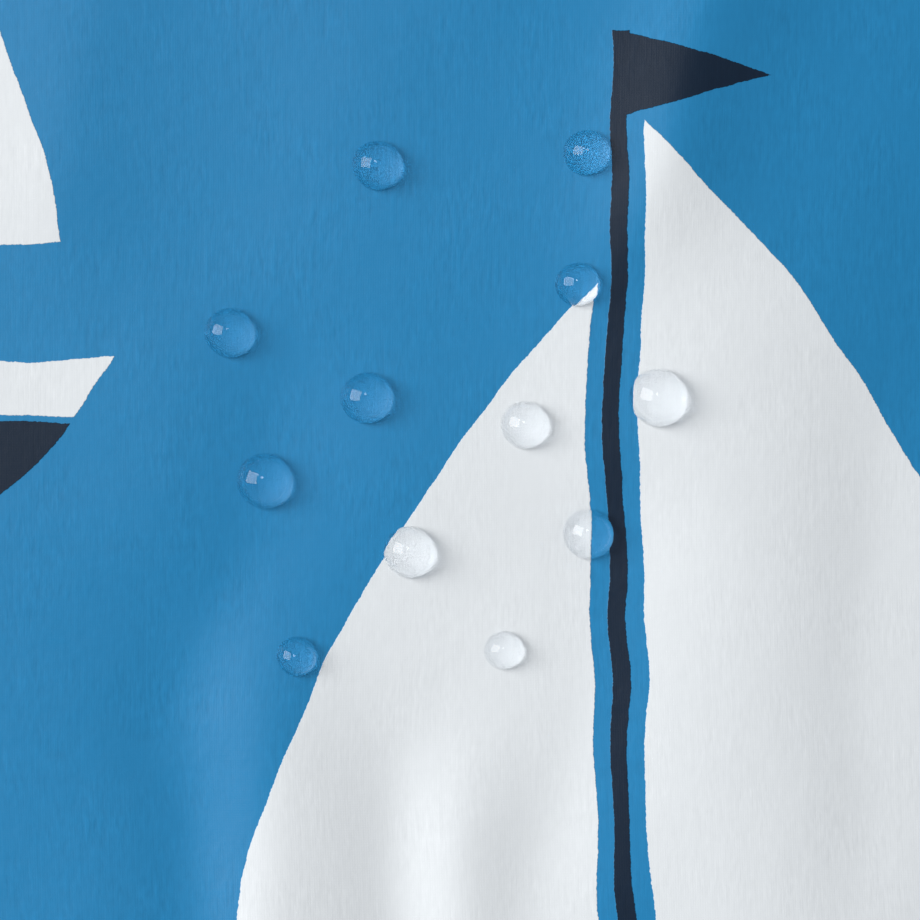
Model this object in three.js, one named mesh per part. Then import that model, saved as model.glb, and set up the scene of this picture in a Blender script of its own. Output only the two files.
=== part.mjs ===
// A child's raincoat, about age five, laid flat on its back with the sleeves out and the hood up.
//
// Millimetres, +Z up. The coat lies on the plane z = 0, its front up, the hood towards +Y and the hem towards -Y.
// The origin is under the middle of the coat's outline, on that plane. The wearer's left is on +X.
//
// The pieces are cut as the real coat's are: one back, two fronts that lap at the centre, a band down the lap with
// press studs, two set-in sleeves, each of a top and an under sleeve, and a hood of two halves. Each piece is a cloth
// wall. The back, the under sleeves and the back of the hood lie flat, and the fronts, the top sleeves and the rim of
// the hood lie over them, standing a little proud, with the coat's largest folds.
import * as THREE from "three";

// ---- driving dimensions ----
const WALL = 1.2; // thickness of the cloth wall
const GAP = 0.35; // clearance between pieces at a seam
const COAT_LENGTH = 857; // hem to the top of the hood, which sets the origin
const LAP_HALF = 18; // the fronts lap, and the band covers, this far each side of the centre
const UNDER_LAP = 12; // how far the under front runs past the centre
const SIDE_ROUND = 14; // how fast a front rises from its side seam
const ARMHOLE_RISE = 8; // height of the sleeve's opening above the flat edge, at its middle
const SLEEVE_LENGTH = 380; // shoulder tip to cuff, along the fold over the arm
const SLEEVE_ANGLE = 41; // of that fold, away from straight down, in degrees
const CUFF_WIDTH = 105; // the cuff, flat
const STUD_RADIUS = 7;
const STUD_HEIGHT = 3.2;
const STUD_FROM_HEM = 45; // the lowest press stud
const STUD_SPACING = 92;
const STUD_COUNT = 6;
const EDGE = 2 * WALL + GAP; // height of two walls lying on each other
const HOOD_CLEAR = 0.15; // each half of the hood stops this far short of the centre

const BLUE = 0x3585b8;
const NAVY = 0x263244;

// ---- the body: a row for each section, from the hem up to the shoulder seam ----
// inX, inY: the centre front, then the front neckline. outX, outY: the side seam, then the armhole.
// backY: the same section of the back on the centre line. top0 to top3: height of the front's face, from centre to side.
// hat: share of the back neckline's curve that the section takes.
const BODY = [
  { inX: 0, inY: 0, outX: 232, outY: 0, backY: 0, top0: 8, top1: 9.5, top2: 10, top3: 9, hat: 0 },
  { inX: 0, inY: 65, outX: 229, outY: 66, backY: 66, top0: 8, top1: 10.5, top2: 10.5, top3: 9.5, hat: 0 },
  { inX: 0, inY: 140, outX: 225, outY: 140, backY: 140, top0: 8, top1: 11, top2: 11, top3: 10, hat: 0 },
  { inX: 0, inY: 215, outX: 220, outY: 212, backY: 212, top0: 8, top1: 11, top2: 11, top3: 10, hat: 0 },
  { inX: 0, inY: 285, outX: 215.5, outY: 280, backY: 280, top0: 8, top1: 11, top2: 11.5, top3: 10.5, hat: 0 },
  { inX: 0, inY: 350, outX: 211, outY: 342, backY: 342, top0: 8, top1: 11, top2: 11.5, top3: 11, hat: 0 },
  { inX: 0, inY: 410, outX: 207, outY: 390, backY: 396, top0: 8, top1: 11, top2: 12, top3: 11, hat: 0 }, // underarm
  { inX: 0, inY: 442, outX: 199, outY: 412, backY: 430, top0: 8, top1: 11, top2: 12, top3: 11, hat: 0 },
  { inX: 0, inY: 472, outX: 190, outY: 435, backY: 461, top0: 8.5, top1: 11, top2: 12, top3: 11, hat: 0 },
  { inX: 0, inY: 500, outX: 182, outY: 458, backY: 490, top0: 9, top1: 11, top2: 12, top3: 11, hat: 0.02 },
  { inX: 0, inY: 525, outX: 176.5, outY: 481, backY: 516, top0: 9.5, top1: 11, top2: 11.5, top3: 11, hat: 0.08 }, // front neck
  { inX: 36, inY: 533, outX: 173, outY: 503, backY: 539, top0: 9.5, top1: 10.5, top2: 11, top3: 11, hat: 0.25 },
  { inX: 60, inY: 553, outX: 171.5, outY: 525, backY: 556, top0: 8.5, top1: 10, top2: 10.5, top3: 10, hat: 0.55 },
  { inX: 72, inY: 580, outX: 172, outY: 545, backY: 568, top0: 8, top1: 9, top2: 9, top3: 9, hat: 1 }, // shoulder seam
];
const UNDERARM = 6;
const FRONT_NECK = 10;
const SHOULDER = 13;
const BODY_CORNERS = { inX: [FRONT_NECK], inY: [FRONT_NECK], outX: [UNDERARM], outY: [UNDERARM] };
// Where the sections are taken: the sleeve and the hood share the upper ones, so their edges meet the body's.
const SECTIONS = [0, 1, 2, 3, 4, 5, 6, 6.6, 7.3, 8, 8.7, 9.4, 10, 10.75, 11.5, 12.25, 13];
const FRONT_COLUMNS = [0.2, 0.34, 0.48, 0.62, 0.76, 0.87, 0.94, 0.98, 1]; // shares of a section, past the lap
const LAP_COLUMNS = [0, 9, 18]; // millimetres from the centre
const NECK_SHARE = BODY[SHOULDER].inX / BODY[SHOULDER].outX; // the neck point's place along a back section
const BACK_COLUMNS = [0, 0.25, 0.5, 0.75].map((q) => q * NECK_SHARE).concat([NECK_SHARE, 0.55, 0.7, 0.85, 1]);

// ---- the hood: a row for each section, from the neck seam over to the crown, all on the wearer's left half ----
// backY: the centre seam at the back. outX, outY: the fold round the head. rimX, rimY: the edge round the face.
// fold: radius of the fold. rimZ: height of the rim's face.
const HOOD = [
  { backY: 568, outX: 72, outY: 580, rimX: 0, rimY: 525, fold: 1.4, rimZ: 9.5 },
  { backY: 577, outX: 80, outY: 588.5, rimX: 20, rimY: 551, fold: 2.4, rimZ: 12.5 },
  { backY: 594, outX: 92, outY: 604, rimX: 36, rimY: 588, fold: 4.2, rimZ: 16 },
  { backY: 622, outX: 109, outY: 631, rimX: 48.5, rimY: 630, fold: 6, rimZ: 18.5 },
  { backY: 658, outX: 124, outY: 665, rimX: 54.5, rimY: 676, fold: 7.2, rimZ: 20 },
  { backY: 697, outX: 133, outY: 702, rimX: 55.5, rimY: 720, fold: 7.5, rimZ: 20 },
  { backY: 736, outX: 134, outY: 739, rimX: 51, rimY: 758, fold: 7.5, rimZ: 19.5 },
  { backY: 771, outX: 124.5, outY: 777, rimX: 42, rimY: 788, fold: 7.5, rimZ: 18.5 },
  { backY: 800, outX: 105, outY: 811, rimX: 30, rimY: 808, fold: 7.5, rimZ: 17.5 },
  { backY: 821, outX: 71, outY: 839, rimX: 18.5, rimY: 819, fold: 7, rimZ: 17 },
  { backY: 834, outX: 33, outY: 853.5, rimX: 8.5, rimY: 824, fold: 6.5, rimZ: 16.5 },
  { backY: 838, outX: 0, outY: 857, rimX: 0, rimY: 825, fold: 6.5, rimZ: 16.5 },
];
const CROWN = HOOD.length - 1;
const HOOD_SECTIONS = HOOD.map((_, k) => k);
const HOOD_BACK_COLUMNS = [0, 0.25, 0.5, 0.75];
const NECK_COLUMNS = SECTIONS.filter((v) => v >= FRONT_NECK).map((v) => (SHOULDER - v) / (SHOULDER - FRONT_NECK));

// ---- the sleeve: a row for each section, from the armhole to the cuff ----
// at: share of the sleeve's length. fold: radius of its two folded edges. puff: height of its top above them.
// out: how far the fold over the arm bows outwards.
const SLEEVE = [
  { at: 0, fold: 1.4, puff: 8, out: 0 },
  { at: 0.07, fold: 2.4, puff: 8.5, out: 4 },
  { at: 0.16, fold: 3.4, puff: 9, out: 8 },
  { at: 0.27, fold: 4, puff: 8.5, out: 10 },
  { at: 0.38, fold: 4.3, puff: 8, out: 9 },
  { at: 0.49, fold: 4.4, puff: 7.5, out: 7 },
  { at: 0.6, fold: 4.4, puff: 7, out: 5 },
  { at: 0.71, fold: 4.4, puff: 6.5, out: 4 },
  { at: 0.82, fold: 4.4, puff: 6, out: 2.5 },
  { at: 0.92, fold: 4.2, puff: 6, out: 1 },
  { at: 1, fold: 4, puff: 6, out: 0 },
];

// ---- the largest folds: a soft ridge (rise above 0) or trough (below 0) along a line ----
const FOLDS = [
  // down the fronts
  { x0: -62, y0: 60, x1: -74, y1: 330, wide: 17, rise: 1.6 },
  { x0: -118, y0: -20, x1: -128, y1: 215, wide: 20, rise: 2.0 },
  { x0: -176, y0: -20, x1: -160, y1: 180, wide: 16, rise: -1.8 },
  { x0: 84, y0: -20, x1: 70, y1: 240, wide: 19, rise: 2.1 },
  { x0: 150, y0: -20, x1: 138, y1: 300, wide: 18, rise: -1.8 },
  // from the underarm towards the shoulder and the chest
  { x0: -222, y0: 372, x1: -96, y1: 470, wide: 11, rise: 2.2 },
  { x0: -214, y0: 336, x1: -110, y1: 392, wide: 12, rise: -1.6 },
  { x0: 224, y0: 366, x1: 104, y1: 476, wide: 12, rise: 2.4 },
  { x0: 214, y0: 330, x1: 92, y1: 372, wide: 11, rise: -1.5 },
  // across the sleeves at the elbow
  { x0: -248, y0: 318, x1: -318, y1: 372, wide: 10, rise: -2.0 },
  { x0: -262, y0: 284, x1: -345, y1: 330, wide: 9, rise: 1.8 },
  { x0: 238, y0: 330, x1: 312, y1: 392, wide: 10, rise: 2.0 },
  { x0: 262, y0: 290, x1: 336, y1: 346, wide: 11, rise: -2.0 },
];

// ---- small functions ----
const lerp = (a, b, t) => a + (b - a) * t;
const clamp = (x, a, b) => Math.min(b, Math.max(a, x));
const smooth = (t) => ((t = clamp(t, 0, 1)), t * t * (3 - 2 * t));

// A column of a table at row v, as a smooth line through its rows that may turn sharply at the corner rows.
function column(table, name, v, corners = []) {
  const ends = [0, ...corners, table.length - 1];
  let k = 0;
  while (k < ends.length - 2 && v > ends[k + 1]) k++;
  const [low, high] = [ends[k], ends[k + 1]];
  const i = clamp(Math.floor(v), low, high - 1);
  const t = v - i;
  const at = (n) => table[clamp(n, low, high)][name];
  const [p1, p2] = [at(i), at(i + 1)];
  const p0 = i - 1 < low ? 2 * p1 - p2 : at(i - 1);
  const p3 = i + 2 > high ? 2 * p2 - p1 : at(i + 2);
  return 0.5 * (2 * p1 + (p2 - p0) * t + (2 * p0 - 5 * p1 + 4 * p2 - p3) * t * t + (3 * p1 - p0 - 3 * p2 + p3) * t ** 3);
}

const bodyIn = (v) => [column(BODY, "inX", v, BODY_CORNERS.inX), column(BODY, "inY", v, BODY_CORNERS.inY)];
const bodyOut = (v) => [column(BODY, "outX", v, BODY_CORNERS.outX), column(BODY, "outY", v, BODY_CORNERS.outY)];

const unit = ([x, y]) => [x / Math.hypot(x, y), y / Math.hypot(x, y)];
const towards = (a, b) => unit([b[0] - a[0], b[1] - a[1]]);

// Unit vector square to a plan curve at v, on its left when v grows.
function leftOf(curve, v) {
  const [x, y] = towards(curve(v - 0.02), curve(v + 0.02));
  return [-y, x];
}

// Height that the folds add at a point.
function foldsAt(x, y) {
  let z = 0;
  for (const f of FOLDS) {
    const [dx, dy] = [f.x1 - f.x0, f.y1 - f.y0];
    const long = Math.hypot(dx, dy);
    const along = ((x - f.x0) * dx + (y - f.y0) * dy) / long / long;
    const across = ((x - f.x0) * dy - (y - f.y0) * dx) / long / f.wide;
    z += f.rise * Math.exp(-across * across) * smooth(along / 0.3) * smooth((1 - along) / 0.3);
  }
  return z;
}

// How far the armhole stands open at section v, 0 at the underarm and the shoulder.
const armholeOpen = (v) => (v <= UNDERARM ? 0 : Math.sin((Math.PI * (SHOULDER - v)) / (SHOULDER - UNDERARM)) ** 0.8);
const shoulderFade = (v) => 1 - Math.exp(-Math.max(0, SHOULDER - v) * 1.4);

// Height of the front's outer face at section v and share s from the centre to the side, on side 1 or -1.
function frontHeight(v, s, side) {
  const a = Math.abs(s);
  const [inner, outer] = [bodyIn(v), bodyOut(v)];
  const tops = ["top0", "top1", "top2", "top3"].map((n) => ({ top: column(BODY, n, v) }));
  const top = column(tops, "top", a * 3);
  const toSide = (1 - a) * Math.hypot(outer[0] - inner[0], outer[1] - inner[1]);
  const rise = 1 - Math.exp(-toSide / SIDE_ROUND) * (1 - (armholeOpen(v) * ARMHOLE_RISE) / (top - EDGE));
  const x = s < 0 ? s * outer[0] : lerp(inner[0], outer[0], s);
  const fold = foldsAt(side * x, lerp(inner[1], outer[1], a)) * (1 - Math.exp(-toSide / 20) * (1 - armholeOpen(v)));
  return Math.max(EDGE, EDGE + ((top - EDGE) * rise + fold) * shoulderFade(v));
}

// Plan of a front section: s is 0 at the centre front or the neckline and 1 at the side; below 0 it runs past the centre.
function frontPlan(v, s) {
  const [inner, outer] = [bodyIn(v), bodyOut(v)];
  return s < 0 ? [s * outer[0], inner[1]] : [lerp(inner[0], outer[0], s), lerp(inner[1], outer[1], s)];
}

// The over front is lifted off the under front near the centre.
const lapLift = (x) => (WALL + GAP) * (1 - smooth((Math.abs(x) - LAP_HALF - 6) / 40));

// ---- walls ----
// A closed wall between an outer and an inner grid of points. keep(row, column) leaves cells out, and wrap joins the last
// column to the first.
function wall(outer, inner, { wrap = false, keep = () => true } = {}) {
  const [rows, columns] = [outer.length, outer[0].length];
  const points = [...outer.flat(), ...inner.flat()];
  const shift = rows * columns;
  const id = (r, c) => r * columns + (c % columns);
  const faces = [];
  for (let r = 0; r < rows - 1; r++)
    for (let c = 0; c < (wrap ? columns : columns - 1); c++)
      if (keep(r, c)) {
        const [p, q, s, t] = [id(r, c), id(r, c + 1), id(r + 1, c + 1), id(r + 1, c)];
        faces.push([p, q, s], [p, s, t]);
      }
  const edges = new Set(faces.flatMap(([a, b, c]) => [a + "," + b, b + "," + c, c + "," + a]));
  const rim = [];
  for (const e of edges) {
    const [a, b] = e.split(",").map(Number);
    if (!edges.has(b + "," + a)) rim.push([b, a, b + shift], [a, a + shift, b + shift]);
  }
  return solid(points, [...faces, ...faces.map(([a, b, c]) => [c + shift, b + shift, a + shift]), ...rim]);
}

// Geometry of a closed set of triangles, turned to face outwards.
function solid(points, faces) {
  let volume = 0;
  for (const [a, b, c] of faces) {
    const [p, q, r] = [points[a], points[b], points[c]];
    volume +=
      p[0] * (q[1] * r[2] - q[2] * r[1]) + p[1] * (q[2] * r[0] - q[0] * r[2]) + p[2] * (q[0] * r[1] - q[1] * r[0]);
  }
  const turned = volume < 0 ? faces.map(([a, b, c]) => [a, c, b]) : faces;
  const g = new THREE.BufferGeometry();
  g.setAttribute("position", new THREE.Float32BufferAttribute(points.flat(), 3));
  g.setIndex(turned.flat());
  return g;
}

// ---- the pieces ----
function backGeometry() {
  const columns = [...BACK_COLUMNS.slice(1).reverse().map((s) => -s), ...BACK_COLUMNS];
  const at = (v, s) => {
    const a = Math.abs(s);
    const [x, y] = bodyOut(v);
    const hat = a < NECK_SHARE ? (a / NECK_SHARE) ** 1.6 : (1 - a) / (1 - NECK_SHARE);
    const rise = BODY[SHOULDER].inY - lerp(BODY[SHOULDER].backY, BODY[SHOULDER].outY, NECK_SHARE);
    return [s * x, lerp(column(BODY, "backY", v), y, a) + rise * hat * column(BODY, "hat", v)];
  };
  const grid = (z) => SECTIONS.map((v) => columns.map((s) => [...at(v, s), z]));
  return wall(grid(0), grid(WALL));
}

// The columns of a front section, with the lap's in millimetres.
function frontColumns(v, past) {
  const half = bodyOut(v)[0];
  return [-past, -past / 2, ...LAP_COLUMNS].map((d) => d / half).concat(FRONT_COLUMNS);
}

function frontGeometry(side, past, lift) {
  const grid = (down) =>
    SECTIONS.map((v) =>
      frontColumns(v, past).map((s) => {
        const [x, y] = frontPlan(v, s);
        return [side * x, y, frontHeight(v, s, side) + lift(x) - down];
      }),
    );
  const neck = SECTIONS.indexOf(FRONT_NECK);
  return wall(grid(0), grid(WALL), { keep: (r, c) => c > 1 || r < neck });
}

// The band follows the over front's points, moved out.
function bandGeometry() {
  const rows = SECTIONS.filter((v) => v <= FRONT_NECK);
  const grid = (up) =>
    rows.map((v) =>
      [-LAP_HALF, -LAP_HALF / 2, 0, LAP_HALF / 2, LAP_HALF].map((d) => {
        const s = d / bodyOut(v)[0];
        const [x, y] = frontPlan(v, s);
        return [x, y, frontHeight(v, s, 1) + lapLift(x) + up];
      }),
    );
  return wall(grid(GAP + WALL), grid(GAP));
}

// A folded edge: points round it from underneath to on top, or from the top with a turn of -1. They stand in the plane
// square to the edge, inwards is the plan direction into the piece there, and inset is how deep in the wall they are.
function foldArc(corner, inwards, radius, inset, turn) {
  return [-90, -45, 0, 45, 90].map((deg) => {
    const a = (turn * deg * Math.PI) / 180;
    const deep = radius - (radius - inset) * Math.cos(a);
    return [corner[0] + inwards[0] * deep, corner[1] + inwards[1] * deep, radius + (radius - inset) * Math.sin(a)];
  });
}

// Plan of the sleeve at share u of its length and t from the fold over the arm to the fold under it.
function sleevePlan(u, t) {
  const v = lerp(SHOULDER, UNDERARM, t);
  const arm = bodyOut(v);
  const off = leftOf(bodyOut, clamp(v, UNDERARM + 0.05, SHOULDER - 0.05));
  const [sin, cos] = [Math.sin((SLEEVE_ANGLE * Math.PI) / 180), Math.cos((SLEEVE_ANGLE * Math.PI) / 180)];
  const cuff = [
    BODY[SHOULDER].outX + SLEEVE_LENGTH * sin - CUFF_WIDTH * cos * t,
    BODY[SHOULDER].outY - SLEEVE_LENGTH * cos - CUFF_WIDTH * sin * t,
  ];
  const bow = sleeveColumn("out", u) * (1 - t) ** 2;
  return [
    lerp(arm[0] - off[0] * GAP, cuff[0], u) + cos * bow,
    lerp(arm[1] - off[1] * GAP, cuff[1], u) + sin * bow,
  ];
}

function sleeveColumn(name, u) {
  let i = 0;
  while (i < SLEEVE.length - 2 && u > SLEEVE[i + 1].at) i++;
  return column(SLEEVE, name, i + (u - SLEEVE[i].at) / (SLEEVE[i + 1].at - SLEEVE[i].at));
}

// Height of the sleeve's top: the front's own along the armhole, then the sleeve's.
function sleeveHeight(u, t, side) {
  const v = lerp(SHOULDER, UNDERARM, t);
  const [x, y] = sleevePlan(u, t);
  const bell = Math.sin(Math.PI * t) ** 0.7;
  const own = 2 * sleeveColumn("fold", u) + sleeveColumn("puff", u) * bell + foldsAt(side * x, y) * bell;
  return lerp(frontHeight(v, 1, side), own, smooth(u / 0.12));
}

// Where the sleeve's sections meet the front's, as shares of the way from the fold over the arm to the fold under it.
const SLEEVE_STATIONS = SECTIONS.filter((v) => v > UNDERARM && v < SHOULDER)
  .map((v) => (SHOULDER - v) / (SHOULDER - UNDERARM))
  .reverse();

// Plan directions into the sleeve, square to its fold over the arm and to its fold under it.
function sleeveInwards(u) {
  const at = clamp(u, 0.02, 0.98);
  // The fold over the arm starts along the armhole, so that it stays clear of the shoulder.
  const square = leftOf((k) => sleevePlan(k, 0), at).map((d) => -d);
  const start = towards(sleevePlan(u, 0), sleevePlan(u, SLEEVE_STATIONS[0]));
  return { over: unit(start.map((d, i) => lerp(d, square[i], smooth(u / 0.15)))), under: leftOf((k) => sleevePlan(k, 1), at) };
}

function sleeveGeometry(side, section) {
  const rows = SLEEVE.map((s) => s.at);
  const grid = (inset) => rows.map((u) => section(u, inset).map((p) => [side * p[0], p[1], p[2]]));
  return wall(grid(0), grid(WALL));
}

// The top sleeve goes round both folds, to the seams underneath.
const sleeveTopGeometry = (side) =>
  sleeveGeometry(side, (u, inset) => {
    const fold = sleeveColumn("fold", u);
    const inwards = sleeveInwards(u);
    return [
      ...foldArc(sleevePlan(u, 0), inwards.over, fold, inset, 1),
      ...SLEEVE_STATIONS.map((t) => [...sleevePlan(u, t), sleeveHeight(u, t, side) - inset]),
      ...foldArc(sleevePlan(u, 1), inwards.under, fold, inset, -1),
    ];
  });

// The under sleeve lies flat between the seams.
const sleeveUnderGeometry = (side) =>
  sleeveGeometry(side, (u, inset) => {
    const inwards = sleeveInwards(u);
    const seam = (t, d) => sleevePlan(u, t).map((p, i) => p + d[i] * (sleeveColumn("fold", u) + GAP));
    const plan = [seam(0, inwards.over), ...SLEEVE_STATIONS.map((t) => sleevePlan(u, t)), seam(1, inwards.under)];
    return plan.map((p) => [...p, WALL - inset]);
  });

// Plan of the hood's back at section w, q from 0 at the centre seam to 1 at the fold.
function hoodBackPlan(w, q) {
  const h = (n) => column(HOOD, n, w);
  const dip = 21.6 * (q ** 1.6 - q) * Math.max(0, 1 - w);
  return [lerp(0, h("outX"), q), lerp(h("backY"), h("outY"), q) + dip + GAP];
}

// Plan of the hood's top at section w, q from 0 at the fold to 1 at the rim. Its first section follows the front neckline.
function hoodTopPlan(w, q) {
  const h = (n) => column(HOOD, n, w);
  const neck = bodyIn(lerp(SHOULDER, FRONT_NECK, q));
  const straight = [lerp(BODY[SHOULDER].inX, BODY[FRONT_NECK].inX, q), lerp(BODY[SHOULDER].inY, BODY[FRONT_NECK].inY, q)];
  const share = Math.max(0, 1 - w / 2) ** 2;
  const off = leftOf(bodyIn, clamp(lerp(SHOULDER, FRONT_NECK, q), FRONT_NECK + 0.05, SHOULDER - 0.05));
  const away = GAP * Math.max(0, 1 - w) * smooth(q / 0.15);
  return [
    lerp(h("outX"), h("rimX"), q) + (neck[0] - straight[0]) * share + off[0] * away,
    lerp(h("outY"), h("rimY"), q) + (neck[1] - straight[1]) * share + off[1] * away + GAP * (1 - smooth(q / 0.15)),
  ];
}

function hoodTopHeight(w, q, side) {
  const neck = frontHeight(lerp(SHOULDER, FRONT_NECK, q), 0, side) + (side > 0 ? lapLift(hoodTopPlan(0, q)[0]) : 0);
  const own = lerp(2 * column(HOOD, "fold", w), column(HOOD, "rimZ", w), smooth(q)) + 1.5 * Math.sin(Math.PI * q);
  return lerp(neck, own, smooth(w / 1.5));
}

function hoodGeometry(side) {
  const strip = (w, inset) => {
    const fold = column(HOOD, "fold", w);
    const corner = hoodTopPlan(w, 0);
    const square = leftOf((k) => hoodTopPlan(k, 0), clamp(w, 0.02, CROWN - 0.02));
    const inwards = unit(towards(corner, hoodBackPlan(w, 0.75)).map((d, i) => lerp(d, square[i], smooth(w))));
    const tops = NECK_COLUMNS.filter((q) => q > 0).reverse();
    const centre = hoodBackPlan(w, 0);
    const toFold = 1 - fold / Math.hypot(corner[0] - centre[0], corner[1] - centre[1]);
    return [
      ...HOOD_BACK_COLUMNS.map((q) => [...hoodBackPlan(w, q * toFold), inset]),
      ...foldArc(corner, inwards, fold, inset, 1),
      ...tops.map((q) => [...hoodTopPlan(w, q), hoodTopHeight(w, q, side) - inset]),
    ].map((p) => [side * Math.max(p[0], HOOD_CLEAR + inset / 8), p[1], p[2]]);
  };
  return wall(
    HOOD_SECTIONS.map((w) => strip(w, 0)),
    HOOD_SECTIONS.map((w) => strip(w, WALL)),
  );
}

// A press stud's cap: a turned dome with a rolled edge, standing on the band.
function studGeometry(y) {
  const profile = [
    [0, 0],
    [STUD_RADIUS - 0.6, 0],
    [STUD_RADIUS, 0.7],
    [STUD_RADIUS - 0.1, 1.5],
    [STUD_RADIUS - 0.9, 2.1],
    [STUD_RADIUS - 2.2, 2.7],
    [STUD_RADIUS - 4.4, 3.05],
    [0, STUD_HEIGHT],
  ];
  const lathe = new THREE.LatheGeometry(profile.map(([r, z]) => new THREE.Vector2(r, z)), 20);
  lathe.rotateX(Math.PI / 2);
  let high = 0;
  for (let v = 0; v <= FRONT_NECK; v += 0.1)
    for (const d of [-STUD_RADIUS, 0, STUD_RADIUS]) {
      const s = d / bodyOut(v)[0];
      const [x, py] = frontPlan(v, s);
      if (Math.abs(py - y) < STUD_RADIUS + 4) high = Math.max(high, frontHeight(v, s, 1) + lapLift(x) + GAP + WALL);
    }
  lathe.translate(0, y, high + GAP);
  return lathe;
}

// ---- the coat ----
const coat = new THREE.Group();
const cloth = () => new THREE.MeshStandardMaterial({ color: BLUE, roughness: 0.62, metalness: 0 });
const metal = () => new THREE.MeshStandardMaterial({ color: NAVY, roughness: 0.35, metalness: 0.1 });

function add(name, geometry, material) {
  const mesh = new THREE.Mesh(geometry, material);
  mesh.name = name;
  coat.add(mesh);
}

add("back", backGeometry(), cloth());
add("front_right", frontGeometry(-1, UNDER_LAP, () => 0), cloth());
add("front_left", frontGeometry(1, LAP_HALF, lapLift), cloth());
add("front_band", bandGeometry(), cloth());
add("sleeve_right_top", sleeveTopGeometry(-1), cloth());
add("sleeve_right_under", sleeveUnderGeometry(-1), cloth());
add("sleeve_left_top", sleeveTopGeometry(1), cloth());
add("sleeve_left_under", sleeveUnderGeometry(1), cloth());
add("hood_right", hoodGeometry(-1), cloth());
add("hood_left", hoodGeometry(1), cloth());
for (let i = 0; i < STUD_COUNT; i++) add("press_stud_" + (i + 1), studGeometry(STUD_FROM_HEM + i * STUD_SPACING), metal());

coat.position.y = -COAT_LENGTH / 2;

export default coat;
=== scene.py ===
"""The looks of a child's raincoat, laid flat on its back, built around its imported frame.

Garment sizes are in millimetres, with y = 0 at the hem, x = 0 at the centre front and z = 0 on the surface under the
coat. They turn into metres in the frame only where a mesh is written.
"""

import math

import bpy
import numpy as np
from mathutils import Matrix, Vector


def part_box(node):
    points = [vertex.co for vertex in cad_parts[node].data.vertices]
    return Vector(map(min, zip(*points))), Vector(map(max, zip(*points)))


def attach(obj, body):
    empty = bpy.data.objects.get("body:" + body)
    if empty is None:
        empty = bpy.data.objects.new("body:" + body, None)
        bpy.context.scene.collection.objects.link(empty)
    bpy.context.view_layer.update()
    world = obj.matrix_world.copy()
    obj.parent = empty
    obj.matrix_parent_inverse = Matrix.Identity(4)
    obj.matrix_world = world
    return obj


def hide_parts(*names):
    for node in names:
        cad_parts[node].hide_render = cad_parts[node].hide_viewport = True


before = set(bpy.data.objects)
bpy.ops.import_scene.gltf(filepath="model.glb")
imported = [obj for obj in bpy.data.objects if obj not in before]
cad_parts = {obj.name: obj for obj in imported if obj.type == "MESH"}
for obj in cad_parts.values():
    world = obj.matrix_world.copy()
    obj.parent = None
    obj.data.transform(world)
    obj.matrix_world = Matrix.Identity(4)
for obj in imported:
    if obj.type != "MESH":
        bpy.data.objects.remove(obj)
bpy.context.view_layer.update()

# ---------------------------------------------------------------- sizes, in millimetres
WALL, GAP = 1.2, 0.35  # the solids' wall and the clearance at their seams
EDGE = 2 * WALL + GAP
COAT_LENGTH = 857.0
LAP_HALF, UNDER_LAP = 18.0, 12.0
SIDE_ROUND, ARMHOLE_RISE = 14.0, 8.0
SLEEVE_LENGTH, SLEEVE_ANGLE, CUFF_WIDTH = 380.0, math.radians(41), 105.0
STUD_RADIUS, STUD_HEIGHT, STUD_FROM_HEM, STUD_SPACING, STUD_COUNT = 7.0, 3.2, 45.0, 92.0, 6
UNDERARM, FRONT_NECK, SHOULDER = 6, 10, 13
THICK = 0.5  # the cloth with its coating
SEAM_Z = 1.38  # height of the seams round the edge, where the front and the back meet
SEAM_ROUND = 2.6  # how far in from such a seam a panel is rounded over
HEM = 18.0  # depth of a turned hem
HEM_STITCH = 15.5
ROLL = 0.56  # radius of the roll at a turned edge

# The body, hem to shoulder: centre or neckline, side or armhole, back's centre, four heights of the front, neck's curve
BODY_NAMES = ("in_x", "in_y", "out_x", "out_y", "back_y", "top0", "top1", "top2", "top3", "hat")
BODY_ROWS = [
    (0, 0, 232, 0, 0, 8, 9.5, 10, 9, 0),
    (0, 65, 229, 66, 66, 8, 10.5, 10.5, 9.5, 0),
    (0, 140, 225, 140, 140, 8, 11, 11, 10, 0),
    (0, 215, 220, 212, 212, 8, 11, 11, 10, 0),
    (0, 285, 215.5, 280, 280, 8, 11, 11.5, 10.5, 0),
    (0, 350, 211, 342, 342, 8, 11, 11.5, 11, 0),
    (0, 410, 207, 390, 396, 8, 11, 12, 11, 0),
    (0, 442, 199, 412, 430, 8, 11, 12, 11, 0),
    (0, 472, 190, 435, 461, 8.5, 11, 12, 11, 0),
    (0, 500, 182, 458, 490, 9, 11, 12, 11, 0.02),
    (0, 525, 176.5, 481, 516, 9.5, 11, 11.5, 11, 0.08),
    (36, 533, 173, 503, 539, 9.5, 10.5, 11, 11, 0.25),
    (60, 553, 171.5, 525, 556, 8.5, 10, 10.5, 10, 0.55),
    (72, 580, 172, 545, 568, 8, 9, 9, 9, 1),
]
BODY = dict(zip(BODY_NAMES, zip(*BODY_ROWS)))
NECK_SHARE = 72 / 172

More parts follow.
